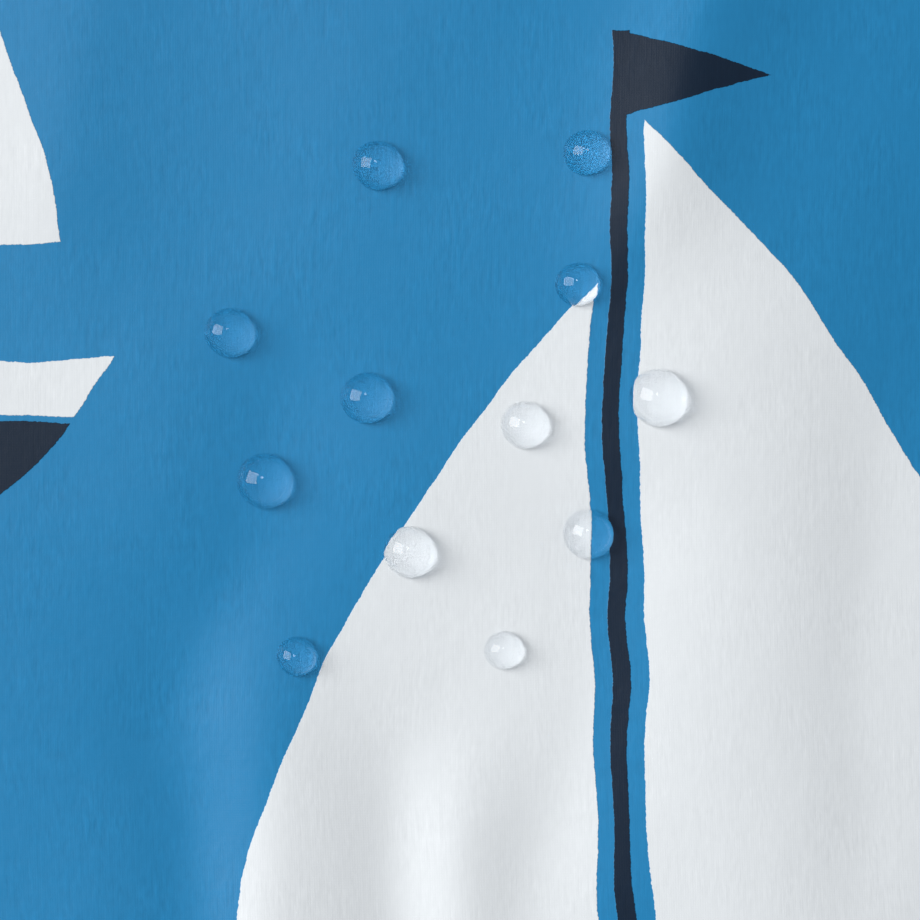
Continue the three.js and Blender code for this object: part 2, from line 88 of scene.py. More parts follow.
# The hood, neck to crown: back's centre, fold round the head, rim round the face, fold's radius, rim's height
HOOD_NAMES = ("back_y", "out_x", "out_y", "rim_x", "rim_y", "fold", "rim_z")
HOOD_ROWS = [
    (568, 72, 580, 0, 525, 1.4, 9.5),
    (577, 80, 588.5, 20, 551, 2.4, 12.5),
    (594, 92, 604, 36, 588, 4.2, 16),
    (622, 109, 631, 48.5, 630, 6, 18.5),
    (658, 124, 665, 54.5, 676, 7.2, 20),
    (697, 133, 702, 55.5, 720, 7.5, 20),
    (736, 134, 739, 51, 758, 7.5, 19.5),
    (771, 124.5, 777, 42, 788, 7.5, 18.5),
    (800, 105, 811, 30, 808, 7.5, 17.5),
    (821, 71, 839, 18.5, 819, 7, 17),
    (834, 33, 853.5, 8.5, 824, 6.5, 16.5),
    (838, 0, 857, 0, 825, 6.5, 16.5),
]
HOOD = dict(zip(HOOD_NAMES, zip(*HOOD_ROWS)))
CROWN = len(HOOD_ROWS) - 1

# The sleeve, armhole to cuff: share of its length, radius of its folded edges, puff above them, bow outwards
SLEEVE_NAMES = ("at", "fold", "puff", "out")
SLEEVE_ROWS = [
    (0, 1.4, 8, 0),
    (0.07, 2.4, 8.5, 4),
    (0.16, 3.4, 9, 8),
    (0.27, 4, 8.5, 10),
    (0.38, 4.3, 8, 9),
    (0.49, 4.4, 7.5, 7),
    (0.6, 4.4, 7, 5),
    (0.71, 4.4, 6.5, 4),
    (0.82, 4.4, 6, 2.5),
    (0.92, 4.2, 6, 1),
    (1, 4, 6, 0),
]
SLEEVE = dict(zip(SLEEVE_NAMES, zip(*SLEEVE_ROWS)))

# The largest folds, as the solids have them: x0, y0, x1, y1, wide, rise
FOLDS = [
    (-62, 60, -74, 330, 17, 1.6),
    (-118, -20, -128, 215, 20, 2.0),
    (-176, -20, -160, 180, 16, -1.8),
    (84, -20, 70, 240, 19, 2.1),
    (150, -20, 138, 300, 18, -1.8),
    (-222, 372, -96, 470, 11, 2.2),
    (-214, 336, -110, 392, 12, -1.6),
    (224, 366, 104, 476, 12, 2.4),
    (214, 330, 92, 372, 11, -1.5),
    (-248, 318, -318, 372, 10, -2.0),
    (-262, 284, -345, 330, 9, 1.8),
    (238, 330, 312, 392, 10, 2.0),
    (262, 290, 336, 346, 11, -2.0),
]

# Smaller creases: x0, y0, x1, y1, bow, wide, rise
CREASES = [
    # dragged from the underarms
    (-206, 398, -118, 454, 6, 5.2, 1.0),
    (-202, 385, -92, 420, -7, 6.2, -0.8),
    (-206, 370, -128, 366, 5, 5.0, 0.8),
    (-196, 406, -148, 502, -7, 5.0, 0.7),
    (-190, 424, -166, 476, 2, 4.0, -0.5),
    (207, 396, 116, 447, -7, 5.4, 1.0),
    (201, 383, 98, 405, 7, 6.0, -0.9),
    (206, 364, 122, 350, -5, 5.4, 0.8),
    (196, 409, 154, 500, 6, 4.6, 0.7),
    (188, 428, 166, 478, -2, 4.0, -0.5),
    # from the side seams
    (-227, 122, -146, 56, 9, 8.0, 0.9),
    (-223, 192, -158, 148, -6, 6.4, -0.7),
    (-229, 42, -182, 6, 3, 5.6, 0.8),
    (-216, 268, -172, 236, 4, 6.0, 0.5),
    (227, 152, 138, 82, -9, 8.2, 1.0),
    (224, 216, 166, 178, 6, 6.4, -0.7),
    (229, 54, 180, 12, -3, 6.0, 0.8),
    (215, 290, 160, 262, -5, 6.4, 0.6),
    # down the fronts
    (-40, 16, -35, 176, 4, 8.0, -0.8),
    (-94, 30, -90, 168, -5, 7.0, 0.7),
    (-152, 60, -146, 196, 6, 8.0, -0.6),
    (-52, 322, -43, 484, -4, 7.0, -0.6),
    (-118, 322, -98, 404, 4, 7.0, 0.6),
    (-30, 372, -28, 470, 2, 5.0, 0.4),
    (48, 30, 40, 206, -4, 8.0, -0.8),
    (112, 46, 104, 236, 5, 8.0, 0.7),
    (178, 36, 168, 226, -5, 8.0, -0.7),
    (60, 300, 52, 474, 3, 7.0, 0.6),
    (132, 296, 110, 384, -6, 7.0, -0.6),
    (98, 250, 86, 356, 3, 6.0, 0.5),
    # under the neckline and at the shoulders
    (-72, 552, -112, 500, 4, 5.0, 0.6),
    (-46, 528, -72, 468, -4, 5.0, 0.6),
    (-128, 556, -140, 500, 3, 6.0, 0.5),
    (-168, 538, -118, 524, 2, 5.0, -0.5),
    (71, 550, 114, 496, -4, 5.0, 0.6),
    (44, 526, 74, 464, 4, 5.0, 0.6),
    (130, 554, 138, 494, -3, 6.0, 0.5),
    (167, 536, 120, 520, -2, 5.0, -0.5),
    # fanning over the sleeves from the underarms, then across the elbows
    (-214, 384, -304, 426, 7, 5.2, 1.0),
    (-220, 368, -294, 372, -6, 5.2, -0.9),
    (-228, 350, -334, 394, 6, 6.0, 1.0),
    (-240, 328, -304, 320, 4, 5.0, 0.7),
    (-288, 262, -382, 322, -6, 5.6, -0.9),
    (-300, 240, -394, 290, 5, 5.0, 0.8),
    (-322, 214, -402, 258, 3, 5.0, -0.6),
    (-200, 468, -252, 502, 3, 6.0, 0.6),
    (-196, 502, -238, 440, -4, 6.0, -0.6),
    (-330, 330, -376, 268, 5, 6.0, 0.5),
    (216, 380, 302, 434, -7, 5.4, 1.0),
    (222, 362, 294, 360, 6, 5.2, -0.9),
    (232, 343, 338, 378, -6, 6.0, 1.0),
    (250, 317, 308, 299, -4, 5.0, 0.7),
    (286, 268, 374, 338, 6, 6.0, -0.9),
    (304, 236, 390, 302, -5, 5.0, 0.8),
    (318, 217, 400, 268, -3, 5.0, -0.6),
    (198, 466, 248, 510, -3, 6.0, 0.6),
    (194, 506, 242, 446, 4, 6.0, -0.6),
    (326, 334, 372, 272, -5, 6.0, 0.5),
    # over the hood
    (-97, 600, -110, 702, 7, 6.6, 1.0),
    (-70, 640, -130, 690, 4, 6.0, -0.8),
    (-62, 718, -132, 744, -6, 6.0, 0.9),
    (-48, 768, -112, 802, 4, 6.0, -0.8),
    (-30, 802, -62, 844, 2, 5.0, 0.6),
    (-84, 590, -60, 560, 2, 4.4, 0.5),
    (94, 604, 113, 696, -7, 6.4, 1.0),
    (66, 652, 131, 682, -4, 6.0, -0.8),
    (60, 722, 133, 756, 6, 6.4, 0.9),
    (44, 772, 106, 814, -4, 6.0, -0.8),
    (26, 808, 52, 848, -2, 5.0, 0.6),
    (86, 594, 62, 562, -2, 4.4, 0.5),
    # soft ripples in the place that the camera frames
    (-129, 130, -127.5, 236, 1.5, 4.6, -0.72),
    (-117, 120, -118, 246, -1.5, 5.2, 0.66),
    (-106.5, 140, -107.5, 230, 1, 3.6, -0.6),
    (-100, 128, -99.5, 228, 0.6, 3.2, 0.52),
    (-134, 214, -114, 268, 2, 7.0, -0.5),
    (-96, 196, -82, 252, 1.5, 5.6, -0.42),
    (-86, 262, -66, 326, 1, 6.4, 1.1),
    (-142, 262, -128, 330, -2, 8.0, 0.5),
    (-62, 196, -58, 262, 1, 6.0, -0.4),
]


# ---------------------------------------------------------------- small functions
def clamp(x, a=0.0, b=1.0):
    return np.minimum(b, np.maximum(a, x))


def smooth(t):
    t = clamp(t)
    return t * t * (3 - 2 * t)


def lerp(a, b, t):
    return a + (b - a) * t


def unit(v):
    return v / np.maximum(np.linalg.norm(v, axis=-1, keepdims=True), 1e-9)


def quarter(t):
    """A quarter of a circle: 0 at 0, upright there, and 1 from 1 on."""
    return np.sqrt(np.maximum(0, 1 - (1 - clamp(t)) ** 2))


def groove(d, wide):
    return np.exp(-((d / wide) ** 2))


def column(values, v, corners=()):
    """A table's column at rows v, as a smooth line through its rows that may turn sharply at the corner rows."""
    v = np.asarray(v, float)
    p = np.asarray(values, float)
    ends = [0, *corners, len(p) - 1]
    low = np.full(v.shape, ends[0])
    high = np.full(v.shape, ends[1])
    for a, b in zip(ends[1:-1], ends[2:]):
        low = np.where(v > a, a, low)
        high = np.where(v > a, b, high)
    i = np.clip(np.floor(v).astype(int), low, high - 1)
    t = v - i
    last = len(p) - 1
    p1, p2 = p[i], p[i + 1]
    p0 = np.where(i - 1 < low, 2 * p1 - p2, p[np.clip(i - 1, 0, last)])
    p3 = np.where(i + 2 > high, 2 * p2 - p1, p[np.clip(i + 2, 0, last)])
    return 0.5 * (2 * p1 + (p2 - p0) * t + (2 * p0 - 5 * p1 + 4 * p2 - p3) * t * t + (3 * p1 - p0 - 3 * p2 + p3) * t**3)


def across(values, t):
    """A smooth line through four arrays, at t from 0 to 3."""
    p = np.stack(np.broadcast_arrays(*values, t)[:-1])
    t = np.broadcast_to(t, p.shape[1:])
    i = np.clip(np.floor(t).astype(int), 0, 2)
    f = t - i

    def take(k):
        return np.take_along_axis(p, np.clip(k, 0, 3)[None], 0)[0]

    p1, p2 = take(i), take(i + 1)
    p0 = np.where(i < 1, 2 * p1 - p2, take(i - 1))
    p3 = np.where(i > 1, 2 * p2 - p1, take(i + 2))
    return 0.5 * (2 * p1 + (p2 - p0) * f + (2 * p0 - 5 * p1 + 4 * p2 - p3) * f * f + (3 * p1 - p0 - 3 * p2 + p3) * f**3)


def noise(x, y, size, seed):
    """Smooth noise from -1 to 1 with hills about this far apart."""
    lattice = np.random.default_rng(seed).uniform(-1, 1, (97, 97))
    a, b = np.broadcast_arrays(np.asarray(x, float) / size, np.asarray(y, float) / size)
    i, j = np.floor(a).astype(int), np.floor(b).astype(int)
    f, g = a - i, b - j
    f, g = f**3 * (f * (6 * f - 15) + 10), g**3 * (g * (6 * g - 15) + 10)
    at = lambda m, n: lattice[(i + m) % 97, (j + n) % 97]
    return lerp(lerp(at(0, 0), at(1, 0), f), lerp(at(0, 1), at(1, 1), f), g)


def body_in(v):
    return column(BODY["in_x"], v, (FRONT_NECK,)), column(BODY["in_y"], v, (FRONT_NECK,))


def body_out(v):
    return column(BODY["out_x"], v, (UNDERARM,)), column(BODY["out_y"], v, (UNDERARM,))


def left_of(curve, v):
    """Unit vector square to a plan curve at v, on its left when v grows."""
    x0, y0 = curve(v - 0.02)
    x1, y1 = curve(v + 0.02)
    long = np.hypot(x1 - x0, y1 - y0)
    return -(y1 - y0) / long, (x1 - x0) / long


# ---------------------------------------------------------------- the cloth's folds
def folds_at(x, y):
    z = 0.0
    for x0, y0, x1, y1, wide, rise in FOLDS:
        dx, dy = x1 - x0, y1 - y0
        long = math.hypot(dx, dy)
        along = ((x - x0) * dx + (y - y0) * dy) / long / long
        side = ((x - x0) * dy - (y - y0) * dx) / long / wide
        z = z + rise * np.exp(-side * side) * smooth(along / 0.3) * smooth((1 - along) / 0.3)
    return z


def creases_at(x, y):
    """Creases have a crest on one side and a softer fall on the other, and their width wanders."""
    z = 0.0
    for k, (x0, y0, x1, y1, bow, wide, rise) in enumerate(CREASES):
        dx, dy = x1 - x0, y1 - y0
        long = math.hypot(dx, dy)
        along = ((x - x0) * dx + (y - y0) * dy) / long / long
        t = clamp(along)
        side = ((x - x0) * dy - (y - y0) * dx) / long - bow * 4 * t * (1 - t)
        side = side + 0.9 * noise(along * long, 0 * along, 16, 300 + k)
        a = side / (wide * (0.75 + 0.5 * t))
        shape = np.exp(-np.abs(a) ** 1.7) - 0.3 * np.exp(-(((a - 2.1) / 1.3) ** 2))
        z = z + rise * shape * smooth(along / 0.28) * smooth((1 - along) / 0.22)
    return z


def relief(x, y):
    """All that the small folds add to a panel's height."""
    soft = 0.42 * noise(x, y, 46, 1) + 0.2 * noise(x, y, 21, 2) + 0.05 * noise(x, y, 9, 3)
    return creases_at(x, y) + soft


def wobble(x, y):
    """The outline and every seam wander a little, as cloth laid by hand does. All the pieces share it."""
    dx = 1.3 * noise(x, y, 82, 11) + 0.4 * noise(x, y, 27, 12)
    dy = 1.2 * noise(x, y, 76, 13) + 0.4 * noise(x, y, 25, 14) + 1.5 * noise(x, 0 * y, 44, 15) * np.exp(-y / 40)
    return x + dx * smooth((np.abs(x) - 4) / 30), y + dy


def pucker(t, seed):
    """Uneven gathers along a sewn line, t millimetres along it."""
    t = np.asarray(t, float)
    return 0.65 * noise(t, 0 * t, 3.4, seed) + 0.35 * noise(t, 0 * t + 9, 7.5, seed + 1)


# ---------------------------------------------------------------- the fronts
def armhole_open(v):
    v = np.asarray(v, float)
    return np.where(v <= UNDERARM, 0, np.abs(np.sin(math.pi * (SHOULDER - v) / (SHOULDER - UNDERARM))) ** 0.8)


def shoulder_fade(v):
    return 1 - np.exp(-np.maximum(0, SHOULDER - v) * 1.4)


def front_plan(v, s):
    (ix, iy), (ox, oy) = body_in(v), body_out(v)
    return np.where(s < 0, s * ox, lerp(ix, ox, s)), np.where(s < 0, iy, lerp(iy, oy, s))


def front_top(v, s, side):
    """Height of a front's face: that of its solid, with the small folds."""
    v, s = np.broadcast_arrays(np.asarray(v, float), np.asarray(s, float))
    a = np.abs(s)
    (ix, iy), (ox, oy) = body_in(v), body_out(v)
    top = across([column(BODY["top%d" % n], v) for n in range(4)], a * 3)
    to_side = (1 - a) * np.hypot(ox - ix, oy - iy)
    opened = armhole_open(v)
    rise = 1 - np.exp(-to_side / SIDE_ROUND) * (1 - opened * ARMHOLE_RISE / (top - EDGE))
    x = side * np.where(s < 0, s * ox, lerp(ix, ox, s))
    y = lerp(iy, oy, a)
    fold = folds_at(x, y) * (1 - np.exp(-to_side / 20) * (1 - opened))
    small = relief(x, y) * (1 - np.exp(-to_side / 12) * (1 - opened))
    return np.maximum(EDGE, EDGE + ((top - EDGE) * rise + fold + small) * shoulder_fade(v))


def seam_rise(v, to_side):
    """0 in the side and shoulder seams, where a front rounds over to meet the back, and 1 away from them."""
    past = np.maximum(0, v - UNDERARM) * 28
    return quarter(np.hypot(to_side, past) / SEAM_ROUND) * quarter((SHOULDER - v) * 24 / SEAM_ROUND)


def armhole_share(v):
    return smooth((v - UNDERARM - 0.1) / 0.35) * smooth((SHOULDER - 0.06 - v) / 0.3)


def neck_share(v):
    return smooth((SHOULDER - 0.06 - v) / 0.3)


def lap_lift(x):
    return (WALL + GAP) * (1 - smooth((np.abs(x) - LAP_HALF - 6) / 40))


def hem_relief(d, along, seed):
    """A turned hem stands a little proud, with its stitches drawn in and puckers beside them."""
    stands = 0.34 * (1 - smooth((d - HEM + 1.2) / 2.2))
    return stands - 0.3 * groove(d - HEM_STITCH, 0.9) + 0.26 * pucker(along, seed) * groove(d - HEM_STITCH, 6.5)


HEM_ROWS = [0, 0.5, 1.2, 2.2, 3.6, 5.4, 7.6, 10, 12.2, 13.8, 14.8, 15.5, 16.2, 17.2, 18.4, 20.2, 22.4]
EDGE_COLUMNS = [0, 0.06, 0.2, 0.42, 0.75, 1.2, 1.75, 2.4, 3.3, 4.6, 6.4, 8.6, 11]


def rows_between(v_low, v_high, spacing, s=0.5):
    """Rows of the body from v_low to v_high about this far apart, both ends left out."""
    fine = np.linspace(v_low, v_high, 400)
    x, y = front_plan(fine, s)
    long = np.concatenate([[0], np.cumsum(np.hypot(np.diff(x), np.diff(y)))])
    n = max(2, int(round(long[-1] / spacing)))
    return np.interp(np.linspace(0, long[-1], n + 1)[1:-1], long, fine)


def v_at(y):
    """The row whose middle is at this height above the hem."""
    fine = np.linspace(0, SHOULDER, 2600)
    return np.interp(y, front_plan(fine, 0.5)[1], fine)


def front_rows(near):
    """The rows of a front. near gives the stretch of y that the camera looks at closely, or None."""
    rows = [v_at(d) for d in HEM_ROWS]
    if near:
        a, b = v_at(near[0]), v_at(near[1])
        rows += [*rows_between(rows[-1], a, 2.7), a, *rows_between(a, b, 1.3), b, *rows_between(b, UNDERARM, 2.6)]
    else:
        rows += list(rows_between(rows[-1], UNDERARM, 2.6))
    rows += [UNDERARM] + [UNDERARM + d / 28 for d in (0.25, 0.7, 1.4, 2.4)]
    rows += [*rows_between(rows[-1], 9.93, 2.5), 9.93, 9.965, 9.985, 9.996, FRONT_NECK]
    ends = [SHOULDER - d / 24 for d in EDGE_COLUMNS[::-1] if d < 8]
    return np.array([*rows, *rows_between(FRONT_NECK, ends[0], 2.3), *ends])


def front_grid(side, past, near):
    """Rows v, shares s and distances of a front's grid, all as two-way arrays."""
    v = front_rows(near)[:, None]
    (ix, iy), (ox, oy) = body_in(v), body_out(v)
    long = np.hypot(ox - ix, oy - iy)
    first = np.array([0, 0.15, 0.5, 1.1, 1.9, 2.9, 4.2, 6.0, 8.2])
    last = np.array(EDGE_COLUMNS[::-1])
    if near:
        shares = [np.arange(9.5, 50, 2.6), np.arange(50, 150, 1.3), np.arange(150, 206, 2.5)]
        middle = (np.concatenate(shares) - 8.2) / (220 - 8.2 - 11)
        middle = middle[(middle > 0.004) & (middle < 0.996)]
    else:
        middle = np.linspace(0, 1, 80)[1:-1]
    a, b = first[-1] / long, 1 - last[0] / long
    lap = np.linspace(-past, 0, 8)[:-1] / ox
    s = np.concatenate([lap, first / long, lerp(a, b, middle[None]), 1 - last / long], axis=1)
    v = np.broadcast_to(v, s.shape)
    return v, s, np.broadcast_to(long, s.shape)


def front_face(v, s, long, side, lift):
    """The outer face of a front."""
    x, y = front_plan(v, s)
    to_side = (1 - np.abs(s)) * long
    z = front_top(v, s, side) + lift(x)
    z = SEAM_Z + 0.05 + (z - SEAM_Z - 0.05) * seam_rise(v, to_side)
    z = z - 0.85 * groove(to_side, 1.3) * armhole_share(v)
    z = z + 0.2 * pucker(y, 31) * groove(to_side - 2, 5) * armhole_share(v)
    from_neck = np.maximum(0, s) * long
    necked = neck_share(v) * smooth((v - FRONT_NECK + 0.4) / 0.5)
    z = z - 0.8 * groove(from_neck, 1.3) * necked + 0.2 * pucker(x * 1.3, 33) * groove(from_neck - 2, 5) * necked
    away = smooth(to_side / 9)
    z = z + hem_relief(y, side * x, 35) * away * smooth((40 - y) / 10)
    return np.stack([side * x, y, z], -1)


# ---------------------------------------------------------------- meshes
def placed(points):
    """Garment millimetres as metres in the frame."""
    x, y = wobble(points[..., 0], points[..., 1])
    return np.stack([x, y - COAT_LENGTH / 2, points[..., 2]], -1) / 1000


def normals_of(points, sign):
    across_rows, along = np.gradient(points, axis=0), np.gradient(points, axis=1)
    return sign * unit(np.cross(along, across_rows))


def turn_in(points, normals, uv, k):
    """Turns the edge at row 0 in: a roll, then a second layer behind rows 0 to k."""
    out = unit(points[0] - points[1])
    step = np.linalg.norm(np.diff(points[: k + 1], axis=0), axis=-1)
    depth = np.concatenate([np.zeros_like(step[:1]), np.cumsum(step, 0)])
    rolls, roll_normals, roll_uv = [], [], []
    turn = uv[1] - uv[0]
    turn = turn / np.maximum(np.linalg.norm(points[1] - points[0], axis=-1, keepdims=True), 1e-6)
    for deg in (30, 60, 90, 120, 150):
        a = math.radians(deg)
        direction = normals[0] * math.cos(a) + out * math.sin(a)
        rolls.append(points[0] - normals[0] * ROLL + direction * ROLL)
        roll_normals.append(direction)
        roll_uv.append(uv[0] - turn * a * ROLL)
    behind = points[: k + 1] - normals[: k + 1] * 2 * ROLL
    behind_uv = uv[0] - turn * (depth[..., None] + math.pi * ROLL)
    return (
        np.concatenate([behind[::-1], np.array(rolls)[::-1], points]),
        np.concatenate([-normals[: k + 1][::-1], np.array(roll_normals)[::-1], normals]),
        np.concatenate([behind_uv[::-1], np.array(roll_uv)[::-1], uv]),
        k + 1 + len(rolls),
    )


def build_object(name, vertices, faces, uv=None, index=None, slots=(), sharp=0.9):
    """A mesh object, in metres, from points, a rectangular array of faces, each point's place on the cloth, each face's
    material and the materials."""
    used = np.unique(faces)
    renumber = np.zeros(len(vertices), int)
    renumber[used] = np.arange(len(used))
    faces = renumber[faces]
    mesh = bpy.data.meshes.new(name)
    mesh.vertices.add(len(used))
    mesh.vertices.foreach_set("co", np.ascontiguousarray(vertices[used], np.float32).ravel())
    count, corners = faces.shape
    mesh.loops.add(count * corners)
    mesh.polygons.add(count)
    mesh.loops.foreach_set("vertex_index", faces.ravel().astype(np.int32))
    mesh.polygons.foreach_set("loop_start", np.arange(0, count * corners, corners, dtype=np.int32))
    mesh.polygons.foreach_set("loop_total", np.full(count, corners, np.int32))
    if index is not None:
        mesh.polygons.foreach_set("material_index", index.astype(np.int32))
    mesh.polygons.foreach_set("use_smooth", np.ones(count, bool))
    if uv is not None:
        layer = mesh.uv_layers.new(name="cloth")
        layer.data.foreach_set("uv", np.ascontiguousarray(uv[used][faces], np.float32).ravel())
    for m in slots:
        mesh.materials.append(m)
    mesh.update(calc_edges=True)
    mesh.validate()
    mesh.set_sharp_from_angle(angle=sharp)
    thing = bpy.data.objects.new(name, mesh)
    bpy.context.scene.collection.objects.link(thing)
    return thing


def cloth_piece(name, points, normals, uv, keep=None, inner=None, flip=False, slots=None):
    """A closed shell of cloth between an outer grid and one a cloth's thickness inside it. uv is in millimetres."""
    rows, columns = points.shape[:2]
    if keep is None:
        keep = np.ones((rows - 1, columns - 1), bool)
    if inner is None:
        inner = points - normals * THICK
    shift = rows * columns
    idx = np.arange(shift).reshape(rows, columns)
    a, b, c, d = idx[:-1, :-1], idx[:-1, 1:], idx[1:, 1:], idx[1:, :-1]
    face = np.stack([a, b, c, d], -1)[keep]
    pad = np.pad(keep, 1)
    rim = []

    def side(here, start, end):
        p, q = start[here], end[here]
        rim.append(np.stack([q, p, p + shift, q + shift], -1))

    side(pad[1:, 1:-1] & ~pad[:-1, 1:-1], idx[:, :-1], idx[:, 1:])
    side(pad[:-1, 1:-1] & ~pad[1:, 1:-1], idx[:, 1:], idx[:, :-1])
    side(pad[1:-1, 1:] & ~pad[1:-1, :-1], idx[1:, :], idx[:-1, :])
    side(pad[1:-1, :-1] & ~pad[1:-1, 1:], idx[:-1, :], idx[1:, :])
    rim = np.concatenate(rim)
    faces = np.concatenate([face, face[:, ::-1] + shift, rim])
    index = np.concatenate([np.zeros(len(face)), np.ones(len(face)), np.zeros(len(rim))])
    if flip:
        faces = faces[:, ::-1]
    vertices = placed(np.concatenate([points.reshape(-1, 3), inner.reshape(-1, 3)]))
    both = np.concatenate([uv.reshape(-1, 2)] * 2) / 1000
    return build_object(name, vertices, faces, both, index, slots or (PRINTED, WRONG_SIDE))


STITCHES = {}


def stitch(piece, points, normals, pitch=3.2, phase=0.4):
    """Notes a row of stitches along a line of points, for the piece that it is sewn through."""
    p = np.asarray(points, float)
    long = np.concatenate([[0], np.cumsum(np.linalg.norm(np.diff(p, axis=0), axis=1))])
    n = int((long[-1] - 1.5) / pitch)
    rng = np.random.default_rng(len(p) + n)
    at = (np.arange(n) + phase) * pitch + rng.uniform(-0.12, 0.12, n)
    place = lambda q: np.stack([np.interp(q, long, p[:, k]) for k in range(3)], -1)
    up = unit(np.stack([np.interp(at, long, np.asarray(normals)[:, k]) for k in range(3)], -1))
    half = 1.25 + rng.uniform(-0.08, 0.08, n)
    STITCHES.setdefault(piece, []).append((place(at - half), place(at + half), up))


def stitch_mesh(name, runs, width=0.36):
    """Every stitch of a piece in one mesh: short round threads whose ends dip into the cloth."""
    start, end, up = (np.concatenate(k) for k in zip(*runs))
    along = end - start
    across_ = unit(np.cross(along, up))
    rings = [(0.0, 0.25, -0.12), (0.1, 0.8, 0.0), (0.3, 1, 0.1), (0.7, 1, 0.1), (0.9, 0.8, 0.0), (1.0, 0.25, -0.12)]
    sides = 6
    points = []
    for t, size, rise in rings:
        centre = start + along * t + up * rise
        for k in range(sides):
            a = 2 * math.pi * k / sides
            points.append(centre + (across_ * math.cos(a) + up * math.sin(a)) * width / 2 * size)
    points = np.stack(points, 1)
    faces = []
    for r in range(len(rings) - 1):
        for k in range(sides):
            j = (k + 1) % sides
            faces.append([r * sides + k, r * sides + j, (r + 1) * sides + j, (r + 1) * sides + k])
    last = (len(rings) - 1) * sides
    # Each end is two quads that share a diagonal of the hexagon.
    faces += [[3, 2, 1, 0], [5, 4, 3, 0], [last, last + 1, last + 2, last + 3], [last, last + 3, last + 4, last + 5]]
    faces = np.array(faces)[:, ::-1]
    per = len(rings) * sides
    every = (faces[None] + (np.arange(len(start)) * per)[:, None, None]).reshape(-1, 4)
    return build_object(name, placed(points.reshape(-1, 3)), every, slots=(THREAD,), sharp=1.5)


# ---------------------------------------------------------------- materials
class Num:
    """A number that varies over a material. Arithmetic on it adds nodes to the material's tree."""

    def __init__(self, tree, socket):
        self.tree, self.socket = tree, socket

    def math(self, op, *others, clamp=False):
        n = self.tree.nodes.new("ShaderNodeMath")
        n.operation, n.use_clamp = op, clamp
        for k, a in enumerate((self, *others)):
            if isinstance(a, Num):
                self.tree.links.new(a.socket, n.inputs[k])
            else:
                n.inputs[k].default_value = a
        return Num(self.tree, n.outputs[0])

    __add__ = __radd__ = lambda a, b: a.math("ADD", b)
    __mul__ = __rmul__ = lambda a, b: a.math("MULTIPLY", b)
    __sub__ = lambda a, b: a.math("SUBTRACT", b)
    __rsub__ = lambda a, b: a.math("MULTIPLY_ADD", -1.0, b)
    __truediv__ = lambda a, b: a.math("DIVIDE", b)
    __abs__ = lambda a: a.math("ABSOLUTE")
    floor = lambda a: a.math("FLOOR")
    sin = lambda a: a.math("SINE")
    top = lambda a, b: a.math("MAXIMUM", b)
    low = lambda a, b: a.math("MINIMUM", b)


def ink(distance, soft):
    """1 inside a shape and 0 outside, from the distance to its edge, which is below 0 inside."""
    return (distance * (-1 / soft) + 0.5).math("MULTIPLY", 1.0, clamp=True)


def noise_node(tree, vector, scale, detail=2.0, dimensions="2D"):
    n = tree.nodes.new("ShaderNodeTexNoise")
    n.noise_dimensions = dimensions
    n.inputs["Scale"].default_value = scale
    n.inputs["Detail"].default_value = detail
    tree.links.new(vector, n.inputs["Vector"])
    return Num(tree, n.outputs["Fac"])


def vector_of(tree, x, y):
    n = tree.nodes.new("ShaderNodeCombineXYZ")
    tree.links.new(x.socket, n.inputs[0])
    tree.links.new(y.socket, n.inputs[1])
    return n.outputs[0]


def far_from(tree, vector, point):
    n = tree.nodes.new("ShaderNodeVectorMath")
    n.operation = "DISTANCE"
    tree.links.new(vector, n.inputs[0])
    n.inputs[1].default_value = (*point, 0)
    return Num(tree, n.outputs["Value"])


def place_on_cloth(tree):
    """Place on the cloth in millimetres: a vector, and its two numbers."""
    uv = tree.nodes.new("ShaderNodeUVMap")
    uv.uv_map = "cloth"
    scale = tree.nodes.new("ShaderNodeVectorMath")
    scale.operation = "SCALE"
    scale.inputs["Scale"].default_value = 1000
    tree.links.new(uv.outputs[0], scale.inputs[0])
    split = tree.nodes.new("ShaderNodeSeparateXYZ")
    tree.links.new(scale.outputs[0], split.inputs[0])
    return scale.outputs[0], Num(tree, split.outputs[0]), Num(tree, split.outputs[1])


def arc_through(x0, y0, x1, y1, sagitta):
    """Centre and radius of the circle through two points that bulges by sagitta to the right of the way between them."""
    dx, dy = x1 - x0, y1 - y0
    chord = math.hypot(dx, dy)
    radius = (chord * chord / 4 + sagitta * sagitta) / (2 * sagitta)
    nx, ny = dy / chord, -dx / chord
    return ((x0 + x1) / 2 - nx * (radius - sagitta), (y0 + y1) / 2 - ny * (radius - sagitta)), radius


# The print: little sailing boats in a half-drop repeat, every other column mirrored. Millimetres on the cloth.
COLUMN, REPEAT = 102.0, 152.0
LEECH = arc_through(51, -21, 2.6, 71, 9)
LUFF = arc_through(-2.6, 55, -41, -18, 6)


